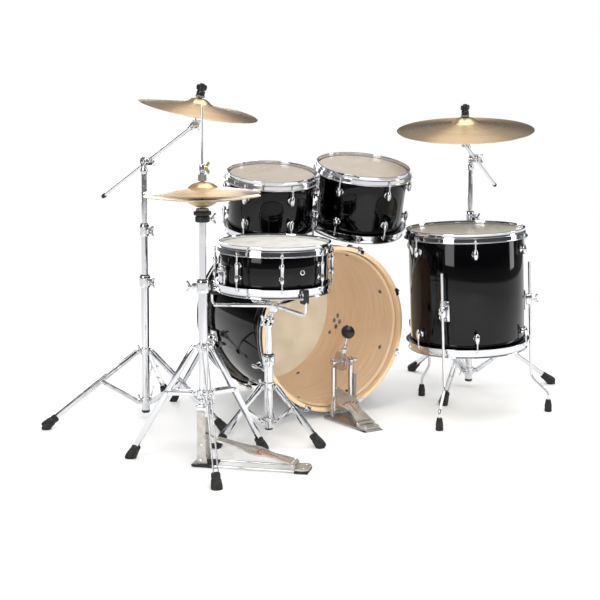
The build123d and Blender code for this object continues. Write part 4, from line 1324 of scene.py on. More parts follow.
@dataclass
class SnareDrum(Drum):
    """Snare drum with its strainer, butt plate, lever and wires."""

    def hardware(self, mould: Mould) -> None:
        """Double-ended lugs, key rods, vent, butt plate and strainer.

        Args:
            mould: Mould that takes it.
        """
        place, under, r = self.place(), self.under(), self.radius
        middle = -self.depth / 2
        for azimuth in self.azimuths():
            turned = place @ spin(azimuth)
            barrel = [(0.01, -33), (3.2, -33), (4.6, -31.5), (6.4, -28), (6.6, -20), (5.6, -10), (5.4, 0),
                      (5.6, 10), (6.6, 20), (6.4, 28), (4.6, 31.5), (3.2, 33), (0.01, 33)]
            mould.lathe(curved(barrel, 2), turned @ at(r + self.rod_offset, 0, middle), 0, 24, False)
            for z in (-20, 20):
                neck = frame_at((r + 0.15, 0, middle + z), (1, 0, 0), (0, 0, 1))
                mould.lathe(eased([(0, 0), (8.4, 0), (8.4, 1), (0, 1)], 0.3), turned @ neck, 1, 20)
                flare = [(0, 0.9), (8, 0.9), (8, 1.8), (6, 3.2), (5, 6), (5, self.rod_offset),
                         (0, self.rod_offset)]
                mould.lathe(flare, turned @ neck, 0, 20, False)
            self.key_rod(mould, turned @ at(r + self.rod_offset), middle + 32)
            self.key_rod(mould, under @ spin(-azimuth, r + self.rod_offset), middle + 32)
        vent = place @ spin(-90, 0, middle) @ frame_at((r, 0, 0), (1, 0, 0))
        mould.lathe(eased([(4.6, 0.1), (9, 0.1), (8.6, 2), (5.4, 2.4)], 0.7), vent, 0, 32)
        butt = place @ at(r + 9.2, 0, 44 - self.depth)
        mould.block((18, 26, 44), butt, 3.5)
        for z in (-12, 12):
            rivet(mould, butt @ Vector((9, 0, z)), butt.to_3x3() @ Vector((1, 0, 0)), 0, 3.5, 2.5)
        strainer = place @ at(-r - 7.2, 0, 52 - self.depth)
        mould.block((14, 30, 62), strainer, 3.5)
        mould.block((8, 20, 36), place @ at(-r - 18.5, 0, 44 - self.depth), 2.5)
        mould.rod_in(place, (-r - 18.5, 0, 22 - self.depth), (-r - 18.5, 0, 31 - self.depth), 7, 1, 18, 1.5)

    def lever(self) -> None:
        """Strainer lever on its hinge."""
        mould = Mould(CHROME, NYLON)
        place, r = self.place(), self.radius
        hub = place @ at(-r - 20.4, 0, 74 - self.depth)
        mould.rod_in(hub, (0, -10, 0), (0, 10, 0), 5.5, 0, 24, 1.2)
        arm = eased([(-3, -5), (-3, 5), (14, 8.5), (36, 8.5), (41, 5), (41, -5), (36, -8.5), (14, -8.5)], 4,
                    4)
        flat = hub @ Matrix.Rotation(math.radians(-90), 4, "Y")
        mould.plate([arm], -2.4, 2.4, flat, 1.4)
        mould.block((20, 10, 2), flat @ at(26, 0, 2.6), 0.9, 1)
        mould.piece("snare_strainer_lever", "snare_lever", "chrome", "snare_lever")

    def wires(self) -> None:
        """Coiled snare wires on their end plates, held by two straps."""
        mould = Mould(STEEL, NYLON)
        below = self.place() @ at(0, 0, -self.depth + 0.1)
        for strand in range(-10, 11):
            mould.coil(below @ Vector((-122, strand * 2.1, -2.2)),
                       below @ Vector((122, strand * 2.1, -2.2)), 0.6, 0.28, 60, 0, 6, 4)
        for x in (-128.2, 128.2):
            mould.block((12, 46, 2.2), below @ at(x, 0, -2.1), 0.7)
        for x in (-157.5, 157.5):
            mould.block((46, 18, 0.7), below @ at(x, 0, -2.6), 0.2, 1)
        mould.piece("snare_coiled_wires", "snare", "snare_wire", "snare_wires")


@dataclass
class BassDrum(Drum):
    """Bass drum on its side, with wooden hoops, claw hooks, two spurs and the tom holder's bracket."""

    axis_z: float = 311.0
    hoop_offset: float = 16.0
    claw_offset: float = 22.5

    def place(self) -> Matrix:
        """Matrix to the batter bearing edge, z towards the player."""
        return frame_at((0, 0, self.axis_z), (0, -1, 0))

    def build(self) -> None:
        """Build every piece of the bass drum."""
        self.shell(Mould(LACQUER, MAPLE), self.place()).piece("bass_shell_turned", "root",
                                                              "black_lacquered_maple", "bass_shell")
        for place, film, name, slot in ((self.place(), CLEAR_FILM, "bass_batter_head", "clear_film"),
                                        (self.under(), CREAM_FILM, "bass_front_head", "cream_film")):
            mould = Mould(film, ALUMINIUM)
            self.head(mould, place)
            mould.piece(name + "_drawn", "root", slot, name)
        hoops = Mould(LACQUER, MAPLE, CHROME)
        for place in (self.place(), self.under()):
            self.wooden_hoop(hoops, place)
        hoops.piece("bass_wooden_hoops", "root", "maple_hoop", "bass_hoops")
        hardware = Mould(CHROME, NYLON, DARK_STEEL)
        for place, sign in ((self.place(), 1), (self.under(), -1)):
            for azimuth in self.azimuths():
                turned = place @ spin(sign * azimuth)
                self.claw(hardware, turned)
                self.lug(hardware, turned, -38.0)
        self.vent_and_bolts(hardware)
        self.spur_brackets(hardware)
        hardware.piece("bass_fittings", "root", "chrome", "bass_hardware")

    def wooden_hoop(self, mould: Mould, place: Matrix) -> None:
        """Hoop with a lacquered outside, a bright inlaid line and bare maple edges and inside.

        Args:
            mould: Mould that takes it.
            place: Matrix to the bearing edge, z out of the head.
        """
        outer, r = self.radius + self.hoop_offset, self.radius
        points = [(outer - 1.2, -16), (outer - 0.3, -15.6), (outer, -14.8), (outer, 1.2),
                  (outer - 0.15, 1.4), (outer - 0.15, 4.6), (outer, 4.8), (outer, 20.6),
                  (outer - 0.4, 21.6), (outer - 1.4, 22), (r + 3, 22), (r + 2, 21), (r + 2, -5),
                  (r + 8.4, -5), (r + 8.4, -16)]
        finish = [0, 0, 0, 0, 2, 0, 0, 0, 1, 1, 1, 1, 1, 1, 0]
        mould.lathe(points, place, finish, 160)

    def claw(self, mould: Mould, place: Matrix) -> None:
        """Claw hook over the hoop, with its gasket, boss and key rod.

        Args:
            mould: Mould that takes it.
            place: Matrix to the bearing edge, turned to the claw's side.
        """
        outer = self.radius + self.hoop_offset
        rod_r = self.radius + self.claw_offset
        upright = place @ UPRIGHT
        hook = [(outer - 11.5, 22.2), (outer - 11.5, 24.7), (outer + 1.6, 24.7), (outer + 3.5, 22.5),
                (outer + 3.5, -2.3), (outer + 0.4, -2.3), (outer + 0.4, 21.2), (outer - 1.4, 22.2)]
        mould.plate([eased(hook, 1.8, 3)], -12.5, 12.5, upright, 1.0)
        mould.block((12, 27, 0.9), place @ at(outer - 5, 0, 22.1), 0.3, 1)
        side = curved([(2.9, -3), (5.6, -2.2), (6.9, 3), (6.6, 9), (5.2, 13), (3, 14)], 3)
        mould.lathe(side, place @ at(rod_r, 0, 0), 0, 24, False)
        mould.rod_in(place, (rod_r, 0, -40), (rod_r, 0, 14), 3.0, 0, 14, 0.1)
        threads(mould, place @ at(rod_r), -36, 10)
        mould.lathe(eased([(0, 13.6), (5.2, 13.6), (5.2, 15.4), (0, 15.4)], 0.4), place @ at(rod_r), 0, 18)
        mould.block((6, 6, 8), place @ at(rod_r, 0, 19), 0.7, 0, 0.94)

    def vent_and_bolts(self, mould: Mould) -> None:
        """Air vent, and the lug and bracket screws that show inside the shell.

        Args:
            mould: Mould that takes it.
        """
        vent = self.place() @ spin(-5, 0, -self.depth / 2) @ frame_at((self.radius, 0, 0), (1, 0, 0))
        mould.lathe(eased([(4.6, 0.2), (9.2, 0.2), (8.8, 2), (5.4, 2.4)], 0.7), vent, 0, 32)
        inner = self.radius - self.ply
        for place, sign in ((self.place(), 1), (self.under(), -1)):
            for azimuth in self.azimuths():
                seat = place @ spin(sign * azimuth) @ frame_at((inner, 0, -57), (-1, 0, 0))
                mould.lathe([(0, 5), (3.4, 5), (4.4, 3.6), (4.4, 1.4), (8, 1.2), (8, 0.1), (0, 0.1)], seat,
                            2, 18, False)
        for side in (-1, 1):
            for turn, y in ((-16.5, 370), (-7.5, 370), (-12, 352), (-12, 390)):
                angle = math.radians(turn)
                spot = Vector((side * inner * math.cos(angle), y, self.axis_z + inner * math.sin(angle)))
                facing = Vector((-side * math.cos(angle), 0, -math.sin(angle)))
                mould.lathe([(0, 5), (4, 5), (5, 3.6), (5, 1.6), (9.5, 1.2), (9.5, 0.1), (0, 0.1)],
                            frame_at(spot, facing), 1, 20, False)

    def spur_brackets(self, mould: Mould) -> None:
        """Two die-cast brackets that the spurs turn on.

        Args:
            mould: Mould that takes it.
        """
        for side, name in ((-1, "spur_left"), (1, "spur_right")):
            pivot, axis = joint_place(name + "_fold")
            axis = axis * (1 if axis.x * side > 0 else -1)
            outward = Vector((pivot.x, 0, pivot.z - self.axis_z)).normalized()
            foot = pivot - outward * 26.5
            place = frame_at(foot, outward, (0, 1, 0))
            mould.block((50, 44, 1.2), place @ at(0, 0, 0.9), 0.5, 1)
            mould.block((46, 40, 5), place @ at(0, 0, 3.4), 2.4)
            for x, y in ((-17, -14), (17, -14), (-17, 14), (17, 14)):
                rivet(mould, place @ Vector((x, y, 5.6)), outward, 0, 3.4, 2)
            mould.rod(foot + outward * 5, pivot - axis * 17, 7.0, 0, 28, 1)
            mould.rod(pivot - axis * 18, pivot - axis * 9.5, 15, 0, 40, 1.8)

    def spur(self, name: str, side: int) -> None:
        """One folding spur with its rubber tip.

        Args:
            name: The spur's name.
            side: -1 for the drum's left, +1 for its right.
        """
        mould = Mould(CHROME, RUBBER, NYLON)
        pivot, axis = joint_place(name + "_fold")
        axis = axis * (1 if axis.x * side > 0 else -1)
        tip = pivot + Vector((side * 0.35, 0.35, -0.87)) * ((pivot.z - 46 * 0.62) / 0.87)
        down = (tip - pivot).normalized()
        mould.rod(pivot - axis * 9, pivot + axis * 9, 15, 0, 40, 2)
        toothed_ring(mould, frame_at(pivot - axis * 7, axis), 13.5, 15.7, 28)
        mould.rod(pivot + down * 8, tip, 8, 0, 28, 0.4)
        mould.rod(pivot + down * 17, pivot + down * 36, 11.5, 0, 28, 2)
        wing_bolt(mould, frame_at(pivot + axis * 8.5, (0, 1, 0), axis), 7)
        foot = [(0, -4), (9.5, -4), (11, -2), (11.5, 6), (10.4, 9), (12.4, 13), (12.5, 40), (9, 46),
                (0, 47)]
        rubber = Mould(RUBBER)
        rubber.lathe(foot, frame_at(tip, down), 0, 28, False)
        rubber.level_cut(0.0)
        mould.take(rubber.bm, Matrix(), 1)
        mould.piece(name + "_rod", name, "chrome", name)


# ------------------------------------------------------------------ holders and stands


@dataclass
class TomHolder:
    """Cast bracket on the bass drum with the two posts that carry the rack toms."""

    y: float = 345.0
    spacing: float = 22.0
    post_radius: float = 11.0
    top_z: float = 762.0
    bracket_top: float = 656.0
    shell_radius: float = 279.4
    shell_axis: float = 311.0

    def bracket(self) -> None:
        """Saddle, twin sockets, wing bolts and the bolts inside the shell."""
        mould = Mould(CHROME, NYLON, STEEL)
        top = self.shell_axis + self.shell_radius
        upright = at(0, self.y, self.shell_axis) @ UPRIGHT
        for low, high, wide, long, finish in ((0.3, 1.4, 49, 34, 1), (1.4, 6.6, 46, 31, 0)):
            angles = [math.asin(wide / self.shell_radius) * step / 8 for step in range(-8, 9)]
            outer = [((self.shell_radius + high) * math.sin(a),
                      (self.shell_radius + high) * math.cos(a)) for a in angles]
            inner = [((self.shell_radius + low) * math.sin(a),
                      (self.shell_radius + low) * math.cos(a)) for a in angles]
            mould.plate([outer + inner[::-1]], -long, long, upright, 1.6, finish)
        mould.block((60, 30, self.bracket_top - top - 5), at(0, self.y, (top + 3 + self.bracket_top) / 2),
                    5)
        for side in (-1, 1):
            x = side * self.spacing
            socket = [(11.4, top + 3), (17.5, top + 3), (16.4, top + 12), (16, self.bracket_top - 4),
                      (14.5, self.bracket_top), (11.4, self.bracket_top)]
            mould.lathe(eased(socket, 2), at(x, self.y, 0), 0, 40)
            wing_bolt(mould, frame_at((x, self.y + 15.5, 628), (0, 0, 1), (0, 1, 0)), 9)
            for y in (-22, 22):
                rivet(mould, (side * 37, self.y + y, top + 3.4), (side * 0.13, 0, 1), 0, 5, 3.4)
        for x, y in ((-32, -22), (32, -22), (0, 24)):
            z = math.sqrt((self.shell_radius - 8) ** 2 - x * x) + self.shell_axis
            mould.lathe([(0, 0), (9.5, 0), (9.5, 1.6), (7, 2), (7, 6), (5.6, 7), (0, 7)],
                        frame_at((x, self.y + y, z - 0.4), (-x / 270, 0, -1)), 2, 24, False)
        mould.piece("tom_holder_bracket", "root", "chrome", "tom_bracket")

    def lock(self, side: int, name: str) -> None:
        """Memory lock on one post, with its key screw.

        Args:
            side: -1 for the drummer's left, +1 for the right.
            name: The tom's name.
        """
        mould = Mould(CHROME)
        place = at(side * self.spacing, self.y, self.bracket_top)
        mould.lathe(eased([(11.2, 0.4), (17, 0.4), (17, 16), (11.2, 16)], 2.2), place, 0, 40)
        mould.block((10.5, 9, 12), place @ at(0, 18.6, 8.2), 2)
        mould.rod_in(place, (-9, 19, 8.2), (6, 19, 8.2), 3, 0, 16)
        mould.block((6, 6, 6), place @ at(-11, 19, 8.2), 0.8)
        mould.piece(name + "_memory_lock", name + "_lock", "chrome", name + "_lock")

    def arm(self, side: int, name: str) -> None:
        """Post with the fixed half of the toothed tilter.

        Args:
            side: -1 for the drummer's left, +1 for the right.
            name: The tom's name.
        """
        mould = Mould(CHROME)
        x = side * self.spacing
        pivot = Vector((x, self.y, self.top_z))
        mould.rod((x, self.y, 604), (x, self.y, self.top_z - 19), self.post_radius, 0, 32)
        neck = [(11, self.top_z - 36), (14, self.top_z - 36), (14.2, self.top_z - 26),
                (12, self.top_z - 22), (9, self.top_z - 16), (9, self.top_z - 12), (0, self.top_z - 12)]
        mould.lathe(eased(neck, 2), at(x, self.y, 0), 0, 36, False)
        inner = pivot - Vector((side * 11.5, 0, 0))
        mould.rod(pivot - Vector((side * 0.4, 0, 0)), inner, 17.6, 0, 40, 2.5)
        mould.block((10, 20, 16), at(x - side * 5.9, self.y, self.top_z - 20), 3)
        toothed_ring(mould, frame_at(pivot - Vector((side * 2.2, 0, 0)), (1, 0, 0)), 15.4, 18.2, 30, 0.5,
                     1.1)
        rivet(mould, inner, (-side, 0, 0), 0, 7, 2.5)
        mould.piece(name + "_holder_post", name + "_arm", "chrome", name + "_arm")


@dataclass
class SnareStand:
    """Low stand whose three-arm basket grips the snare drum's bottom hoop."""

    tripod: Tripod
    drum: SnareDrum
    hinge_z: float = 400.0
    hub_drop: float = 66.0

    def base(self) -> None:
        """Tripod, lower tube and clamp."""
        mould = Mould(CHROME, NYLON)
        x, y = self.tripod.centre
        self.tripod.build(mould)
        mould.rod((x, y, 40), (x, y, 262), 14.3, 0, 36, 0.6, 12.6)
        mould.lathe([(0, 34), (12, 34), (14, 37), (14.2, 41), (0, 41)], at(x, y), 1, 28, False)
        post_clamp(mould, (x, y, 250), -120, 19, 14.4, 34)
        mould.piece("snare_stand_tripod", "root", "chrome", "snare_stand_base")

    def post(self) -> None:
        """Height tube with the fixed half of the tilter."""
        mould = Mould(CHROME, NYLON)
        x, y = self.tripod.centre
        mould.rod((x, y, 150), (x, y, self.hinge_z - 16), 11.1, 0, 32, 0.6, 9.3)
        mould.block((11, 24, 28), at(x - 5.9, y, self.hinge_z - 8), 4)
        mould.rod((x - 11.4, y, self.hinge_z), (x - 0.4, y, self.hinge_z), 15, 0, 40, 2.2)
        mould.lathe(eased([(11.2, -24), (14.5, -24), (14.5, -15), (11.2, -15)], 2), at(x, y, self.hinge_z),
                    0, 32)
        wing_bolt(mould, frame_at((x - 11, y, self.hinge_z), (0, 0, 1), (-1, 0, 0)), 8)
        mould.piece("snare_stand_height_tube", "snare_post", "chrome", "snare_stand_post")

    def basket(self) -> None:
        """Basket hub, three channel arms and their rubber grips."""
        mould = Mould(CHROME, RUBBER, NYLON)
        x, y = self.tripod.centre
        hub = self.drum.place() @ at(0, 0, -self.drum.depth - self.hub_drop)
        centre = hub.to_translation()
        mould.rod((x + 0.4, y, self.hinge_z), (x + 13, y, self.hinge_z), 15, 0, 40, 2.2)
        neck = [(x + 7, y, self.hinge_z + 2), centre.lerp(Vector((x + 7, y, self.hinge_z)), 0.45), centre]
        mould.wire(smooth_line(neck, 8), 7, 0, 20)
        knob = eased([(0, -20), (13, -20), (16, -14), (16, 8), (12, 14), (0, 14)], 3)
        mould.lathe(knob, hub, 0, 40, False)
        for k in range(10):
            mould.rod(hub @ spin(36 * k) @ Vector((15.4, 0, -12)),
                      hub @ spin(36 * k) @ Vector((15.4, 0, 4)), 2.2, 0, 10)
        reach = self.drum.radius + 26
        for azimuth in (30, 150, 270):
            turned = hub @ spin(azimuth)
            for side in (-1, 1):
                bars = [(19, side * 4.4, 2), (reach - 12, side * 4.4, 3)]
                mould.bar(turned @ Vector(bars[0]), turned @ Vector(bars[1]), 10, 2.2,
                          turned.to_3x3() @ Vector((0, 1, 0)))
            curve = [(reach - 44, 0, 2.5), (reach - 16, 0, 4), (reach - 4.5, 0, 14), (reach - 2.4, 0, 34),
                     (reach - 2.4, 0, 73)]
            mould.wire([turned @ p for p in smooth_line(curve, 6)], 4.2, 0, 16)
            for r, z in ((24, 2), (reach - 18, 3.4)):
                mould.rod_in(turned, (r, -7, z), (r, 7, z), 3.2, 0, 14)
            tip = [(self.drum.radius, 38), (self.drum.radius + 26, 38), (self.drum.radius + 28.5, 46),
                   (self.drum.radius + 28.5, 80), (self.drum.radius + 25, 85),
                   (self.drum.radius + 21.2, 85), (self.drum.radius + 21.2, 48), (self.drum.radius, 48)]
            upright = turned @ UPRIGHT
            mould.plate([eased(tip, 3.5, 4)], -9, 9, upright, 2.0, 1)
        mould.piece("snare_basket_frame", "snare", "chrome", "snare_basket")

    def build(self) -> None:
        """Build the stand."""
        self.base()
        self.post()
        self.basket()


@dataclass
class Cymbal:
    """Cymbal of bronze, turned from a section of bell and bow."""

    name: str
    radius: float
    bore: float = 7.0
    bow: float = 0.11
    bell: float = 0.2
    rise: float = 0.085
    thickness: float = 1.1

    def outline(self) -> Outline:
        """Closed section of (radius, height) points with the bell hole's top at height 0.

        Returns:
            The section's points.
        """
        bell_r, bell_h = self.radius * self.bell, self.radius * self.rise * 0.95
        bow_h = self.radius * self.bow
        top = [(self.bore + (bell_r - self.bore) * k / 12, -bell_h * (k / 12) ** 2.2) for k in range(13)]
        for k in range(1, 29):
            share = k / 28
            top.append((bell_r + (self.radius - bell_r) * share,
                        -bell_h - bow_h * (0.68 * share + 0.32 * share ** 2)))
        soft = [sum(z for _, z in top[max(i - 1, 0):i + 2]) / len(top[max(i - 1,
                                                                          0):i + 2]) for i in range(len(top))]
        top = [(r, z if i in (0, len(top) - 1) else s) for i, ((r, z), s) in enumerate(zip(top, soft))]
        edge = (top[-1][0] + 0.35, top[-1][1] - self.thickness / 2)
        return [*top, edge, *[(r, z - self.thickness) for r, z in reversed(top)]]

    def build(self, place: Matrix, body: str, node: str) -> None:
        """Build the cymbal.

        Args:
            place: Matrix to its bell hole, z out of the bell.
            body: CAD body that it moves with.
            node: CAD node that it stands for.
        """
        mould = Mould(BRONZE)
        mould.lathe(self.outline(), place, 0, 192)
        mould.piece(self.name + "_lathed", body, "bronze", node)


@dataclass
class CymbalStand:
    """Telescoping boom stand with its cymbal."""

    name: str
    tripod: Tripod
    tilter_z: float
    boom_end: tuple[float, float, float]
    tail: float
    lean: tuple[float, float]
    cymbal: Cymbal
    first_clamp: float = 507.0
    second_clamp: float = 688.0
    boom_rod: float = 6.4
    boom_side: float = 18.0
    stem_length: float = 93.0

    def frame(self) -> tuple[Vector, Vector, Vector]:
        """Pivot of the boom, its direction, and the level axis that it tilts about.

        Returns:
            The pivot, the direction and the axis.
        """
        x, y = self.tripod.centre
        pivot = Vector((x, y, self.tilter_z))
        flat = Vector((self.boom_end[0] - x, self.boom_end[1] - y, 0)).normalized()
        return pivot, (Vector(self.boom_end) - pivot).normalized(), Vector((0, 0, 1)).cross(flat)

    def tier(self, z: float, radius: float, mould: Mould) -> None:
        """Clamp at the top of one tube."""
        x, y = self.tripod.centre
        post_clamp(mould, (x, y, z - 42), -75, radius + 4.5, radius + 0.05, 42)

    def tubes(self) -> None:
        """Tripod with the lower tube, then the middle and the upper tube."""
        x, y = self.tripod.centre
        mould = Mould(CHROME, NYLON)
        self.tripod.build(mould)
        mould.rod((x, y, 26), (x, y, self.first_clamp), 14.3, 0, 36, 0.6, 12.7)
        mould.lathe([(0, 20), (12.3, 20), (14.3, 23), (14.4, 30), (0, 30)], at(x, y), 1, 28, False)
        self.tier(self.first_clamp, 14.3, mould)
        mould.piece(self.name + "_tripod", "root", "chrome", self.name + "_base")
        mould = Mould(CHROME, NYLON)
        mould.rod((x, y, self.first_clamp - 250), (x, y, self.second_clamp), 11.1, 0, 32, 0.6, 9.7)
        self.tier(self.second_clamp, 11.1, mould)
        mould.piece(self.name + "_middle_telescope", self.name + "_middle_tube", "chrome",
                    self.name + "_middle_tube")
        mould = Mould(CHROME, NYLON)
        pivot, _, side = self.frame()
        mould.rod((x, y, self.second_clamp - 150), (x, y, self.tilter_z - 22), 9.5, 0, 30, 0.6, 8.1)
        neck = [(9.5, -44), (12.2, -44), (12.6, -30), (11, -24), (7.5, -15), (7.5, -10), (0, -10)]
        mould.lathe(eased(neck, 2), at(x, y, self.tilter_z), 0, 32, False)
        middle = pivot - side * 0.5
        mould.bar(middle - Vector((0, 0, 24)), middle - Vector((0, 0, 8)), 17, 11, side)
        mould.rod(pivot - side * 6, pivot + side * 5, 17, 0, 44, 2.4)
        toothed_ring(mould, frame_at(pivot + side * 4.0, side), 14.4, 17.3, 32, 0.0)
        rivet(mould, pivot - side * 6, -side, 0, 8, 3)
        mould.piece(self.name + "_upper_telescope", self.name + "_upper_tube", "chrome",
                    self.name + "_upper_tube")

    def boom(self) -> None:
        """Boom clamp, boom rod and its fork."""
        pivot, direction, side = self.frame()
        line = pivot + side * self.boom_side
        mould = Mould(CHROME, NYLON)
        mould.rod(pivot + side * 5.4, pivot + side * 29, 16.5, 0, 44, 2.4)
        toothed_ring(mould, frame_at(pivot + side * 6.4, side), 13.9, 16.8, 32, 0.5)
        jaw = [(6.8, -18), (8.4, -18), (10.2, -15), (9.8, 0), (10.2, 15), (8.4, 18), (6.8, 18)]
        mould.lathe(eased(jaw, 1.6), frame_at(line, direction), 0, 36)
        wing_bolt(mould, frame_at(pivot + side * 29, (0, 0, 1), side), 9)
        mould.piece(self.name + "_boom_ratchet", self.name + "_boom_clamp", "chrome",
                    self.name + "_boom_clamp")
        mould = Mould(CHROME, RUBBER)
        end = Vector(self.boom_end) + side * self.boom_side
        tail = line - direction * self.tail
        mould.rod(tail, end - direction * 14, self.boom_rod, 0, 28)
        knurl = frame_at(tail, -direction)
        mould.lathe(eased([(0, -6), (7.6, -6), (8, -3), (8, 12), (6.5, 16), (0, 16)], 1.5), knurl, 1, 28,
                    False)
        mould.lathe(eased([(6.2, 0), (9, 0), (9.2, 9), (7, 13), (4, 14)], 1.6),
                    frame_at(end - direction * 27, direction), 0, 28, False)
        mould.rod(end - direction * 15 - side * 4.3, end - side * 4.3, 4.4, 0, 16)
        mould.rod(end - side * 8, end - side * 0.4, 12, 0, 36, 1.8)
        toothed_ring(mould, frame_at(end - side * 1.4, side), 9.4, 12.3, 32, 0.0)
        rivet(mould, end - side * 8, -side, 0, 6, 2.4)
        mould.piece(self.name + "_boom_rod", self.name + "_boom", "chrome", self.name + "_boom")

    def tilter(self) -> Matrix:
        """Toothed tilter with its stem, sleeve, felts and wing nut.

        Returns:
            Matrix to the cymbal's bell hole.
        """
        _, _, side = self.frame()
        end = Vector(self.boom_end) + side * self.boom_side
        up = Vector((*self.lean, 1)).normalized()
        foot = end + side * 4.7
        mould = Mould(CHROME, NYLON, FELT)
        mould.rod(end + side * 0.4, end + side * 9, 12, 0, 36, 1.8)
        toothed_ring(mould, frame_at(end + side * 1.4, side), 9.4, 12.3, 32, 0.5)
        wing_bolt(mould, frame_at(end + side * 9, up, side), 6)
        mould.rod(foot, foot + up * (self.stem_length + 40), 3.9, 0, 20)
        stem = frame_at(foot, up)
        mould.lathe(eased([(0, 8), (7, 8), (8, 12), (12, 14), (12, 18), (3.9, 19)], 1.2), stem, 0, 32,
                    False)
        tilt = frame_at(foot + up * self.stem_length, up)
        mould.lathe(eased([(4, -34), (9, -34), (9, -26), (5.6, -24), (5.6, 14), (4, 14)], 0.8), tilt, 1, 24)
        mould.lathe(eased([(5.7, -14), (13, -14), (13.4, -12.6), (13, -11.6), (5.7, -11.6)], 0.5), tilt, 0,
                    32)
        for z in (-11.4, 1.8):
            mould.lathe(eased([(5.8, z), (14, z), (15.5, z + 2), (15.5, z + 6), (14, z + 8), (5.8, z + 8)],
                              1.2), tilt, 2, 32)
        nut = [(4, 9.6), (13.6, 9.6), (14.4, 12), (14, 22), (10.5, 25), (9.5, 43), (8, 48.4), (3, 49.4),
               (0, 49.6)]
        mould.lathe(eased(nut, 1.0)[4:], tilt, 1, 28, False)
        wing = eased([(-8, 24), (-16, 27), (-18, 32), (-18, 42), (-13, 46), (-6, 43), (6, 43), (13, 46),
                      (18, 42), (18, 32), (16, 27), (8, 24)], 3.5, 4)
        mould.plate([wing], -5, 5, tilt @ UPRIGHT, 1.6, 1)
        mould.piece(self.name + "_stem_fittings", self.name + "_tilter", "chrome", self.name + "_tilter")
        return tilt

    def build(self) -> None:
        """Build the stand and its cymbal."""
        self.tubes()
        self.boom()
        self.cymbal.build(self.tilter(), self.name + "_cymbal", self.name + "_cymbal")


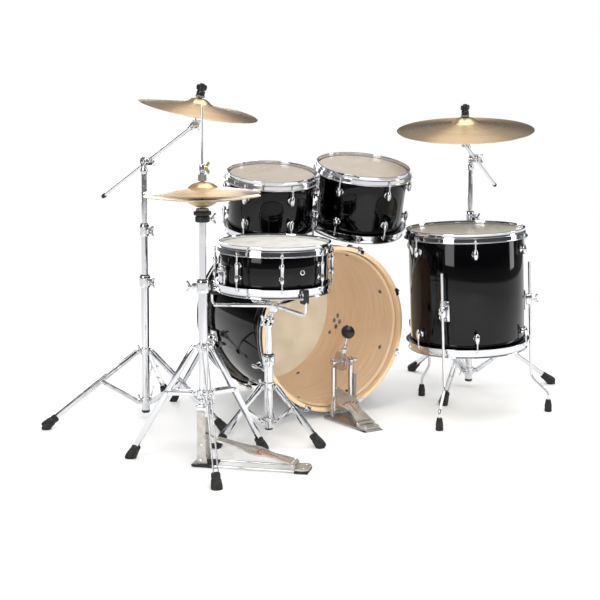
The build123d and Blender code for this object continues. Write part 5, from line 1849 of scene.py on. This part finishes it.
@dataclass
class HiHat:
    """Pedal-driven pair of cymbals on a three-legged stand."""

    tripod: Tripod
    radius: float = 177.8
    tube_top: float = 571.0
    seat_z: float = 802.0
    clutch_z: float = 874.6
    rod_top: float = 1105.0
    board_azimuth: float = -44.0
    heel_x: float = 288.0
    toe_x: float = 36.0
    heel_z: float = 24.0
    toe_z: float = 82.0

    def along(self) -> Matrix:
        """Matrix to the floor under the post, x towards the heel."""
        return at(*self.tripod.centre) @ spin(self.board_azimuth)

    def base(self) -> None:
        """Tripod, lower tube, clamp, frame casting, spars and heel plate."""
        mould = Mould(CHROME, NYLON, DARK_STEEL, CASTING)
        x, y = self.tripod.centre
        self.tripod.build(mould)
        mould.rod((x, y, 150), (x, y, self.tube_top), 14.3, 0, 36, 0.6, 12.6)
        post_clamp(mould, (x, y, self.tube_top - 38), 150, 18.8, 14.35, 40)
        along = self.along()
        mould.block((76, 72, 6), along @ at(8, 0, 6), 2.5, 2)
        for side in (-1, 1):
            cheek = eased([(-13, 9), (19, 9), (13, 60), (13, 176), (-13, 176), (-13, 60)], 8, 5)
            upright = along @ at(0, side * 25, 0) @ UPRIGHT
            mould.plate([cheek], -2, 2, upright, 0.9, 3)
            mould.rod_in(along, (0, side * 22, 22), (0, side * 31, 22), 5.5, 0, 20)
            mould.rod_in(along, (2, side * 22, 70), (2, side * 29, 70), 4.0, 0, 16)
        mould.block((34, 54, 28), along @ at(0, 0, 178), 6)
        mould.lathe(eased([(14.3, 190), (19, 190), (18, 204), (15, 207), (14.3, 207)], 1.5), at(x, y), 0,
                    36)
        heel = eased([(self.heel_x + 4, -34), (self.heel_x + 30, -38), (self.heel_x + 48, -30),
                      (self.heel_x + 48, 30), (self.heel_x + 30, 38), (self.heel_x + 4, 34)], 9, 6)
        mould.plate([heel], 9, 15, along, 1.6, 3)
        for side in (-1, 1):
            mould.block((16, 7, 17), along @ at(self.heel_x, side * 29, 17.5), 2.6, 3)
            mould.rod_in(along, (30, side * 31, 6.4), (self.heel_x + 12, side * 31, 6.4), 3.2, 0, 16)
            rivet(mould, along @ Vector((self.heel_x + 32, side * 22, 14.6)), (0, 0, 1), 0, 4.5, 2)
        mould.rod_in(along, (self.heel_x, -33.6, self.heel_z), (self.heel_x, -25.5, self.heel_z), 3.4, 0,
                     16)
        mould.rod_in(along, (self.heel_x, 25.5, self.heel_z), (self.heel_x, 33.6, self.heel_z), 3.4, 0, 16)
        mould.piece("hihat_stand", "root", "chrome", "hihat_base")

    def pads(self, mould: Mould) -> None:
        """Rubber pads under the frame and the heel plate.

        Args:
            mould: Mould that takes it.
        """
        along = self.along()
        mould.block((70, 66, 3.2), along @ at(8, 0, 1.6), 0.8)
        mould.block((42, 70, 8.4), along @ at(self.heel_x + 26, 0, 4.2), 1.5)

    def footboard(self) -> None:
        """Cast footboard with ribs, toe stop and red marks."""
        mould = Mould(CASTING, RED_ENAMEL, CHROME)
        pitch = math.atan2(self.toe_z - self.heel_z, self.heel_x - self.toe_x)
        length = math.hypot(self.toe_z - self.heel_z, self.heel_x - self.toe_x)
        board = self.along() @ at(self.heel_x, 0, self.heel_z) @ Matrix.Rotation(pitch, 4, "Y") @ spin(180)
        Footboard(length).build(mould, board)
        mould.rod_in(board, (0, -24.5, 0), (0, 24.5, 0), 5, 0, 24)
        mould.piece("hihat_cast_footboard", "hihat_footboard", "cast_aluminium", "hihat_footboard")

    def tube(self) -> None:
        """Height tube with the seat cup, its felt and the tilt screw, and the bottom cymbal."""
        mould = Mould(CHROME, NYLON, FELT)
        x, y = self.tripod.centre
        seat = self.seat_z - 32
        mould.rod((x, y, self.tube_top - 150), (x, y, seat + 2), 10.7, 0, 32, 0.6, 8.8)
        cup = [(10.8, -20), (19, -20), (22.5, -17), (22.5, -3), (19, -0.5), (25, 1.5), (27, 4), (27, 12),
               (25, 15), (8.9, 15), (8.9, -2), (10.8, -4)]
        mould.lathe(eased(cup, 1.8), at(x, y, seat), 1, 48)
        mould.lathe(eased([(8.9, 14.6), (20, 14.6), (20, 21), (14, 24), (8.9, 24)], 2), at(x, y, seat), 2,
                    40)
        wing_bolt(mould, frame_at((x + 21, y - 8.4, seat - 10), (0, 0, 1), (30, -12, 0)), 8)
        mould.piece("hihat_height_tube", "hihat_tube", "chrome", "hihat_tube")
        turned = at(x, y, self.seat_z - 6) @ TURNED_OVER
        Cymbal("hihat_bottom", self.radius, 6.2, 0.09, 0.27, 0.105).build(turned, "hihat_tube",
                                                                          "hihat_bottom_cymbal")

    def pull_rod(self) -> None:
        """Pull rod, its yoke and the drive chain."""
        mould = Mould(CHROME, STEEL)
        x, y = self.tripod.centre
        mould.rod((x, y, 112), (x, y, self.rod_top), 3, 0, 16, 1.2)
        along = self.along()
        mould.block((12, 16, 12), along @ at(0, 0, 106), 2.5)
        roller_chain(mould, along @ Vector((0, 0, 101)), along @ Vector((self.toe_x - 4, 0,
                                                                         self.toe_z + 6)),
                                                                         along.to_3x3() @ Vector((0, 1, 0)),
                                                                         1)
        mould.piece("hihat_pull_rod", "hihat_rod", "chrome", "hihat_rod")

    def clutch(self) -> None:
        """Clutch with its felts, nuts and thumb screws, and the top cymbal."""
        mould = Mould(CHROME, NYLON, FELT, BRASS)
        x, y = self.tripod.centre
        place = at(x, y, self.clutch_z) @ spin(-20)
        body = [(3.4, -15), (5.6, -15), (5.6, 11), (9.6, 11.5), (9.8, 15), (8.2, 17), (8.2, 30), (9.2, 32),
                (9.2, 50), (7.6, 53), (3.4, 53)]
        mould.lathe(eased(body, 1.0), place, 0, 32)
        for z, top, radius in ((-9, -3, 15), (1.6, 21, 12.8)):
            mould.lathe(eased([(5.8, z), (radius, z), (radius, top), (5.8, top)], 1.6), place, 2, 32)
        mould.lathe(eased([(5.8, -14), (10.5, -14), (10.5, -9.3), (5.8, -9.3)], 0.8), place, 0, 6)
        wing_bolt(mould, place @ at(8, 0, 41), 4, 3)
        mould.piece("hihat_clutch_fittings", "hihat_clutch", "chrome", "hihat_clutch")
        Cymbal("hihat_top", self.radius, 6.2, 0.09, 0.27, 0.105).build(at(x, y, self.clutch_z),
                                                                       "hihat_clutch", "hihat_top_cymbal")

    def build(self) -> None:
        """Build the hi-hat."""
        self.base()
        self.footboard()
        self.tube()
        self.pull_rod()
        self.clutch()


def roller_chain(mould: Mould, start: Vector, end: Vector, across: Vector, finish: int = 0) -> None:
    """Single-row roller chain between two points.

    Args:
        mould: Mould that takes it.
        start: Centre of the first pin.
        end: Centre of the last pin.
        across: Direction of the pins.
        finish: Index of the finish.
    """
    count = max(round((end - start).length / 7.4), 2)
    pins = [start.lerp(end, k / count) for k in range(count + 1)]
    for pin in pins:
        mould.rod(pin - across * 4.3, pin + across * 4.3, 1.3, finish, 10, 0.2)
        mould.rod(pin - across * 1.7, pin + across * 1.7, 2.2, finish, 12, 0.2)
    for index, (a, b) in enumerate(zip(pins, pins[1:])):
        for side in (-1, 1):
            shift = across * side * (3.4 if index % 2 else 2.4)
            mould.bar(a + shift, b + shift, 5.4, 0.9, across, finish)


@dataclass
class Footboard:
    """Cast footboard: oval plate, waist, heel stem, raised rim, slots and red marks; heel at x 0."""

    length: float
    thick: float = 5.0

    def half(self) -> Outline:
        """Points of one side from heel to toe, as (along, across).

        Returns:
            The points.
        """
        n = self.length
        shape = [(8, 30), (40, 27.5), (66, 23), (84, 26), (102, 35.5), (120, 41), (137, 38), (152, 29.5),
                 (170, 24), (n - 16, 19), (n - 3, 11)]
        return curved(shape)

    def build(self, mould: Mould, place: Matrix) -> None:
        """Add the board to a mould whose finishes are casting, red enamel and chrome.

        Args:
            mould: Mould that takes it.
            place: Matrix to the heel hinge, x towards the toe.
        """
        half = self.half()
        top = 2.6
        mould.plate([mirrored(half)], -1.5, top, place, 1.2)
        hole = mirrored([(a, b - 3.4) for a, b in half if self.length - 8 > a > 10])
        mould.plate([mirrored(half), hole], top - 0.5, 4.8, place, 0.7)
        for turn in range(-50, 51, 20):
            across, along = 34 * math.sin(math.radians(turn)), 84 + 34 * math.cos(math.radians(turn))
            mould.block((4.6, 9, 1.3), place @ at(along, across, top + 0.4) @ spin(-turn), 0.5, 1)
            mould.block((3.2, 5.5, 1.6), place @ at(along + 15, across * 0.8, top + 0.4) @ spin(-turn), 0.7)
        mould.block((56, 2.4, 1.3), place @ at(80, 0, top + 0.4), 0.5, 1)
        mould.rod_in(place, (self.length - 8, -6.5, 7.0), (self.length - 8, 6.5, 7.0), 3.4, 2, 18)
        mould.block((12, 17, 6), place @ at(self.length - 9, 0, 3.0), 2.2)


@dataclass
class BassPedal:
    """Chain-drive pedal with its beater, spring and hoop clamp."""

    axle: tuple[float, float] = (-66.0, 206.0)
    heel: tuple[float, float] = (-218.0, 20.0)
    toe: tuple[float, float] = (-32.0, 98.0)
    cam: float = 36.0
    reach: float = 116.0
    back: float = 20.7

    def base(self) -> None:
        """Base plate, heel casting, hoop clamp, posts, bearings and spring."""
        mould = Mould(CHROME, NYLON, DARK_STEEL, CASTING, STEEL)
        (axle_y, axle_z), (heel_y, _) = self.axle, self.heel
        back_y = heel_y - 50
        half = [(50, -26), (56, -44), (50, -110), (37, back_y + 34), (30, back_y)]
        plate = eased([*half, *[(-a, b) for a, b in reversed(half)]], 9, 5)
        mould.plate([plate], 2.5, 7.5, at(), 1.0, 4)
        heel = eased([(-34, heel_y + 2), (-36, heel_y - 24), (-27, back_y + 4), (27, back_y + 4),
                      (36, heel_y - 24), (34, heel_y + 2)], 10, 6)
        mould.plate([heel], 7, 14.5, at(), 1.8, 3)
        for side in (-1, 1):
            mould.block((8, 16, 19), at(side * 30, heel_y, 15.5), 2.6, 3)
            mould.rod((side * 26, heel_y, self.heel[1]), (side * 35.5, heel_y, self.heel[1]), 3.4, 0, 16)
            rivet(mould, (side * 20, heel_y - 28, 14), (0, 0, 1), 0, 4.5, 2)
            side_face = eased([(-9, 7), (9, 7), (8, 40), (7.5, axle_z - 16), (-7.5, axle_z - 16), (-8, 40)],
                              3, 4)
            turned = at(side * 36, axle_y, 0) @ Matrix.Rotation(math.radians(90), 4, "Z") @ UPRIGHT
            mould.plate([side_face], -4.5, 4.5, turned, 1.8)
            ring = [(5.5, -5.5), (11, -5.5), (12.4, -4), (12.4, 4), (11, 5.5), (5.5, 5.5)]
            mould.lathe(eased(ring, 1.2), frame_at((side * 36, axle_y, axle_z), (1, 0, 0)), 0, 40)
        mould.block((52, 40, 10.4), at(0, -15, 10), 3)
        mould.rod((0, -30, 14), (0, -30, 38), 4, 0, 20)
        mould.block((30, 33, 5.5), at(0, -20, 34), 2.2)
        mould.coil((54, axle_y, 60), (54, axle_y, 156), 7.2, 1.25, 26, 4, 14, 8)
        mould.rod((54, axle_y, 22), (54, axle_y, 62), 2.5, 0, 16)
        mould.block((24, 12, 10), at(47, axle_y, 18), 3)
        mould.rod((54, axle_y, 33), (54, axle_y, 40), 6.4, 0, 6, 0.6)
        mould.lathe(eased([(0, 56), (6.4, 56), (6.4, 61), (0, 61)], 1.0), at(54, axle_y), 0, 20, False)
        mould.piece("pedal_frame", "root", "cast_aluminium", "pedal_base")

    def pads(self, mould: Mould) -> None:
        """Rubber sheet under the base plate."""
        back_y = self.heel[0] - 50
        mould.block((74, -back_y - 32, 2.8), at(0, (back_y - 26) / 2, 1.4), 0.8)

    def footboard(self) -> None:
        """Cast footboard on its heel hinge."""
        mould = Mould(CASTING, RED_ENAMEL, CHROME)
        rise, run = self.toe[1] - self.heel[1], self.toe[0] - self.heel[0]
        place = at(0, *self.heel) @ Matrix.Rotation(math.atan2(rise, run), 4, "X") @ spin(90)
        Footboard(math.hypot(rise, run)).build(mould, place)
        mould.rod_in(place, (0, -25.5, 0), (0, 25.5, 0), 5.2, 0, 24)
        mould.piece("pedal_cast_footboard", "pedal_footboard", "cast_aluminium", "pedal_footboard")

    def beater(self) -> None:
        """Axle, cam, beater hub, shaft and beater."""
        mould = Mould(CHROME, NYLON, RED_FELT, RUBBER, STEEL)
        angle = math.radians(self.back)
        lean, strike = Vector((0, -math.sin(angle),
                               math.cos(angle))), Vector((0, math.cos(angle), math.sin(angle)))
        pivot = Vector((0, *self.axle))
        mould.rod(pivot - Vector((43, 0, 0)), pivot + Vector((46, 0, 0)), 5, 0, 6, 0.8)
        mould.lathe(eased([(6, -6.5), (self.cam - 1.5, -6.5), (self.cam - 1.5, -5), (self.cam - 4, -4),
                           (self.cam - 4, 4), (self.cam - 1.5, 5), (self.cam - 1.5, 6.5), (6, 6.5)], 0.8),
                           frame_at(pivot, (1, 0, 0)), 0, 56)
        mould.lathe([(self.cam - 4.2, -3.9), (self.cam - 1.2, -3.9), (self.cam - 1.2, 3.9),
                     (self.cam - 4.2, 3.9)], frame_at(pivot, (1, 0, 0)), 2, 56)
        mould.rod(pivot + lean * 4, pivot + lean * 52, 8.5, 0, 28, 2.5)
        mould.rod(pivot + lean * 44 - Vector((14, 0, 0)), pivot + lean * 44, 3.4, 0, 16)
        mould.block((6, 6, 6), frame_at(pivot + lean * 44 - Vector((16, 0, 0)), lean), 0.8)
        mould.rod(pivot + lean * 40, pivot + lean * self.reach, 3.6, 0, 20)
        mould.rod(pivot + lean * 60, pivot + lean * 66, 6.2, 0, 24, 1.2)
        centre = pivot + lean * self.reach
        shape = curved([(0.01, -22), (10, -21.2), (18, -15.5), (22.4, -4), (22.4, 6), (18.5, 16), (11, 21),
                        (0.01, 22)])
        mould.lathe(shape, frame_at(centre, strike), 1, 44, False)
        band = [(22.2, -3), (22.9, -2), (22.9, 4), (22.2, 5)]
        mould.lathe(band, frame_at(centre, strike), 3, 44, False)
        mould.rod(centre + lean * 14, centre + lean * 24, 4.6, 0, 20, 1.4)
        mould.block((15, 17, 12), at(54, *self.axle), 4)
        mould.rod((54, self.axle[0], self.axle[1] - 4), (54, self.axle[0], 156), 2.3, 4, 14)
        mould.lathe(eased([(0, 154), (6, 154), (6, 160), (0, 161)], 1), at(54, self.axle[0]), 0, 18, False)
        mould.piece("pedal_beater_assembly", "pedal_beater", "chrome", "pedal_beater")

    def chain(self) -> None:
        """Chain from the cam down to the toe."""
        mould = Mould(STEEL)
        y = self.axle[0] + self.cam + 3.4
        roller_chain(mould, Vector((0, y, self.axle[1] - 8)), Vector((0, y, self.toe[1] + 8)),
                     Vector((1, 0, 0)))
        mould.piece("pedal_roller_chain", "pedal_chain", "chain", "pedal_chain")

    def build(self) -> None:
        """Build the pedal."""
        self.base()
        self.footboard()
        self.beater()
        self.chain()


# ------------------------------------------------------------------ studio


@dataclass
class Studio:
    """Pale floor, soft lights and white surroundings."""

    floor_radius: float = 9.0
    camera_place: tuple[float, float, float] = (-2.3766, -3.652, 1.119)
    camera_ahead: tuple[float, float] = (0.520, 0.854)
    camera_pitch: float = 3.7
    lens: float = 73.5

    def floor(self) -> None:
        """Plain pale floor."""
        mesh = bpy.data.meshes.new("studio_floor")
        bm = bmesh.new()
        bmesh.ops.create_circle(bm, cap_ends=True, segments=96, radius=self.floor_radius)
        bm.to_mesh(mesh)
        bm.free()
        mesh.materials.append(StudioPaint("studio_floor_painted", "#f3f3f2", 0.6, 0.0,
                                          (("Specular IOR Level", 0.1),)).material())
        floor = bpy.data.objects.new("studio_floor", mesh)
        floor.location.z = -0.0008
        bpy.context.scene.collection.objects.link(floor)

    def area(self, name: str, place: Point, aim: Point, size: tuple[float, float], power: float,
             mirrored: bool = True) -> None:
        """Soft box.

        Args:
            name: The light's name.
            place: Where it hangs, in metres.
            aim: Point that it faces.
            size: Its width and height.
            power: Its power in watts.
            mirrored: Whether polished surfaces show it.
        """
        light = bpy.data.lights.new(name, "AREA")
        light.shape, light.size, light.size_y, light.energy = "RECTANGLE", size[0], size[1], power
        holder = bpy.data.objects.new(name, light)
        holder.location = place
        holder.rotation_euler = (Vector(aim) - Vector(place)).to_track_quat("-Z", "Y").to_euler()
        holder.visible_glossy = mirrored
        bpy.context.scene.collection.objects.link(holder)

    def world(self) -> None:
        world = bpy.data.worlds.new("studio_world")
        world.use_nodes = True
        tree = world.node_tree
        tree.nodes.clear()
        where = add_node(tree, "ShaderNodeTexCoord", {})
        split = add_node(tree, "ShaderNodeSeparateXYZ", {}, Vector=where.outputs["Generated"])
        ramp = add_node(tree, "ShaderNodeValToRGB", {}, Fac=split.outputs["Z"])
        stops = ((0.0, "#8c8c8c"), (0.12, "#4a4a4b"), (0.34, "#777778"), (0.62, "#e8e8e8"),
                 (1.0, "#bdbdbd"))
        for element, (position, colour) in zip(ramp.color_ramp.elements, (stops[0], stops[-1])):
            element.position, element.color = position, linear(colour)
        for position, colour in stops[1:-1]:
            ramp.color_ramp.elements.new(position).color = linear(colour)
        around = add_node(tree, "ShaderNodeBackground", {"Strength": 0.75}, Color=ramp.outputs[0])
        behind = add_node(tree, "ShaderNodeBackground", {"Color": (1, 1, 1, 1), "Strength": 1.0})
        rays = add_node(tree, "ShaderNodeLightPath", {})
        chosen = add_node(tree, "ShaderNodeMixShader", {})
        tree.links.new(rays.outputs["Is Camera Ray"], chosen.inputs[0])
        tree.links.new(around.outputs[0], chosen.inputs[1])
        tree.links.new(behind.outputs[0], chosen.inputs[2])
        add_node(tree, "ShaderNodeOutputWorld", {}, Surface=chosen.outputs[0])
        bpy.context.scene.world = world

    def camera(self) -> None:
        camera = bpy.data.cameras.new("studio_camera")
        camera.lens, camera.sensor_width, camera.shift_y = self.lens, 36.0, -0.2
        holder = bpy.data.objects.new("studio_camera", camera)
        holder.location = self.camera_place
        pitch = math.radians(self.camera_pitch)
        ahead = Vector((*self.camera_ahead, 0)).normalized()
        aim = ahead * math.cos(pitch) + Vector((0, 0, -math.sin(pitch)))
        holder.rotation_euler = aim.to_track_quat("-Z", "Y").to_euler()
        bpy.context.scene.collection.objects.link(holder)
        bpy.context.scene.camera = holder

    def build(self) -> None:
        """Build floor, lights, surroundings and camera."""
        self.floor()
        self.world()
        self.area("softbox_top", (0.2, -0.3, 3.6), (0, 0, 0.4), (3.6, 3.0), 95)
        self.area("softbox_left", (-3.6, -1.6, 2.0), (0, 0, 0.6), (1.4, 2.4), 55)
        self.area("softbox_right", (3.4, -1.8, 1.7), (0.1, 0, 0.5), (0.8, 2.4), 30)
        self.area("softbox_front", (-1.4, -4.6, 2.6), (0, 0, 0.4), (2.6, 1.6), 80, False)
        self.area("softbox_low", (-0.9, -3.6, 0.7), (0.05, 0, 0.32), (1.4, 0.9), 50, False)
        self.area("softbox_behind", (0.6, 4.0, 1.3), (0, 0, 0.3), (2.4, 1.8), 70)
        self.camera()
        view = bpy.context.scene.view_settings
        view.view_transform, view.look, view.exposure = "Standard", "None", 0.0


class StudioPaint(Finish):
    """Matt studio floor paint: near white and even, lit from below so that it fades into the white wall."""

    def dress(self, surface: Surface) -> None:
        """Args:
            surface: Surface that takes the patterns.
        """
        where = add_node(surface.tree, "ShaderNodeTexCoord", {})
        away = add_node(surface.tree, "ShaderNodeVectorMath", {"operation": "LENGTH"})
        surface.tree.links.new(where.outputs["Object"], away.inputs[0])
        fade = surface.spread(away.outputs["Value"], 0.0, 1.0, 1.3, 3.4)
        surface.link(surface.blend(fade, self.colour, "#000000", 0.0, 1.0), "Base Color")
        surface.link(surface.spread(fade, 0.1, 1.0, 0.0, 1.0), "Emission Strength")



def build_kit() -> None:
    """Build every sub-assembly in order."""
    feet = Mould(RUBBER)
    bass = BassDrum("bass", top=(0, 0, 0), lean=(0, 0), phase=22.5, radius=11 * INCH, depth=18 * INCH,
                    lugs=8, ply=8.0, rod_offset=22.5)
    bass.build()
    for side, name in ((-1, "spur_left"), (1, "spur_right")):
        bass.spur(name, side)
    holder = TomHolder()
    holder.bracket()
    toms = (RackTom("tom_12", (-150, 161, 868), (-0.058, -0.186), -93, radius=6 * INCH, depth=8 * INCH,
                    side=-1), RackTom("tom_13", (216, 118, 884), (-0.029, -0.2315), -90, radius=6.5 * INCH,
                                      depth=9 * INCH))
    for tom in toms:
        tom.build()
        holder.lock(tom.side, tom.name)
        holder.arm(tom.side, tom.name)
    # The floor tom's batter is the clear film drawn whitest and most opaque, a stronger painted reflection of
    # the top light.
    floor_tom = FloorTom("floor_tom", (432, -212, 668), (-0.033, 0.003), 0, radius=8 * INCH,
                         depth=16 * INCH, batter=FLOOR_TOM_FILM_PAINTED_REFLECTION)
    floor_tom.build()
    floor_tom.legs(feet)
    snare = SnareDrum("snare", (-345, -190, 665), (0, -0.02), 22.5, radius=7 * INCH, depth=5.5 * INCH,
                      lugs=8, batter=WHITE_COAT)
    snare.build()
    snare.lever()
    snare.wires()
    low_tripod = Tripod("snare_stand", centre=(-352, -165), phase=59, reach=200, legs_z=180, braces_z=62)
    crash_tripod = Tripod("crash", centre=(-585, 302), phase=54, reach=355, legs_z=240, braces_z=62)
    ride_tripod = Tripod("ride", centre=(699, 89), phase=95, reach=335, legs_z=240, braces_z=62)
    hihat_tripod = Tripod("hihat", centre=(-663, -303), phase=-108, reach=257, legs_z=367, braces_z=222)
    SnareStand(low_tripod, snare).build()
    CymbalStand("crash", crash_tripod, tilter_z=908, boom_end=(-529, 53, 1038), tail=294,
                lean=(0.105, -0.198), cymbal=Cymbal("crash", 8 * INCH)).build()
    CymbalStand("ride", ride_tripod, tilter_z=895, boom_end=(548, -30, 958), tail=400,
                lean=(-0.118, -0.126), cymbal=Cymbal("ride", 10 * INCH), stem_length=102).build()
    hihat = HiHat(hihat_tripod)
    hihat.build()
    pedal = BassPedal()
    pedal.build()
    for tripod in (low_tripod, crash_tripod, ride_tripod, hihat_tripod):
        tripod.feet(feet)
    hihat.pads(feet)
    pedal.pads(feet)
    feet.level_cut(0.0)
    feet.piece("kit_rubber_feet", "root", "rubber", "rubber_feet")


def main() -> None:
    logging.basicConfig(level=logging.INFO, format="%(message)s")
    build_kit()
    Studio().build()


if __name__ == "__main__":
    main()
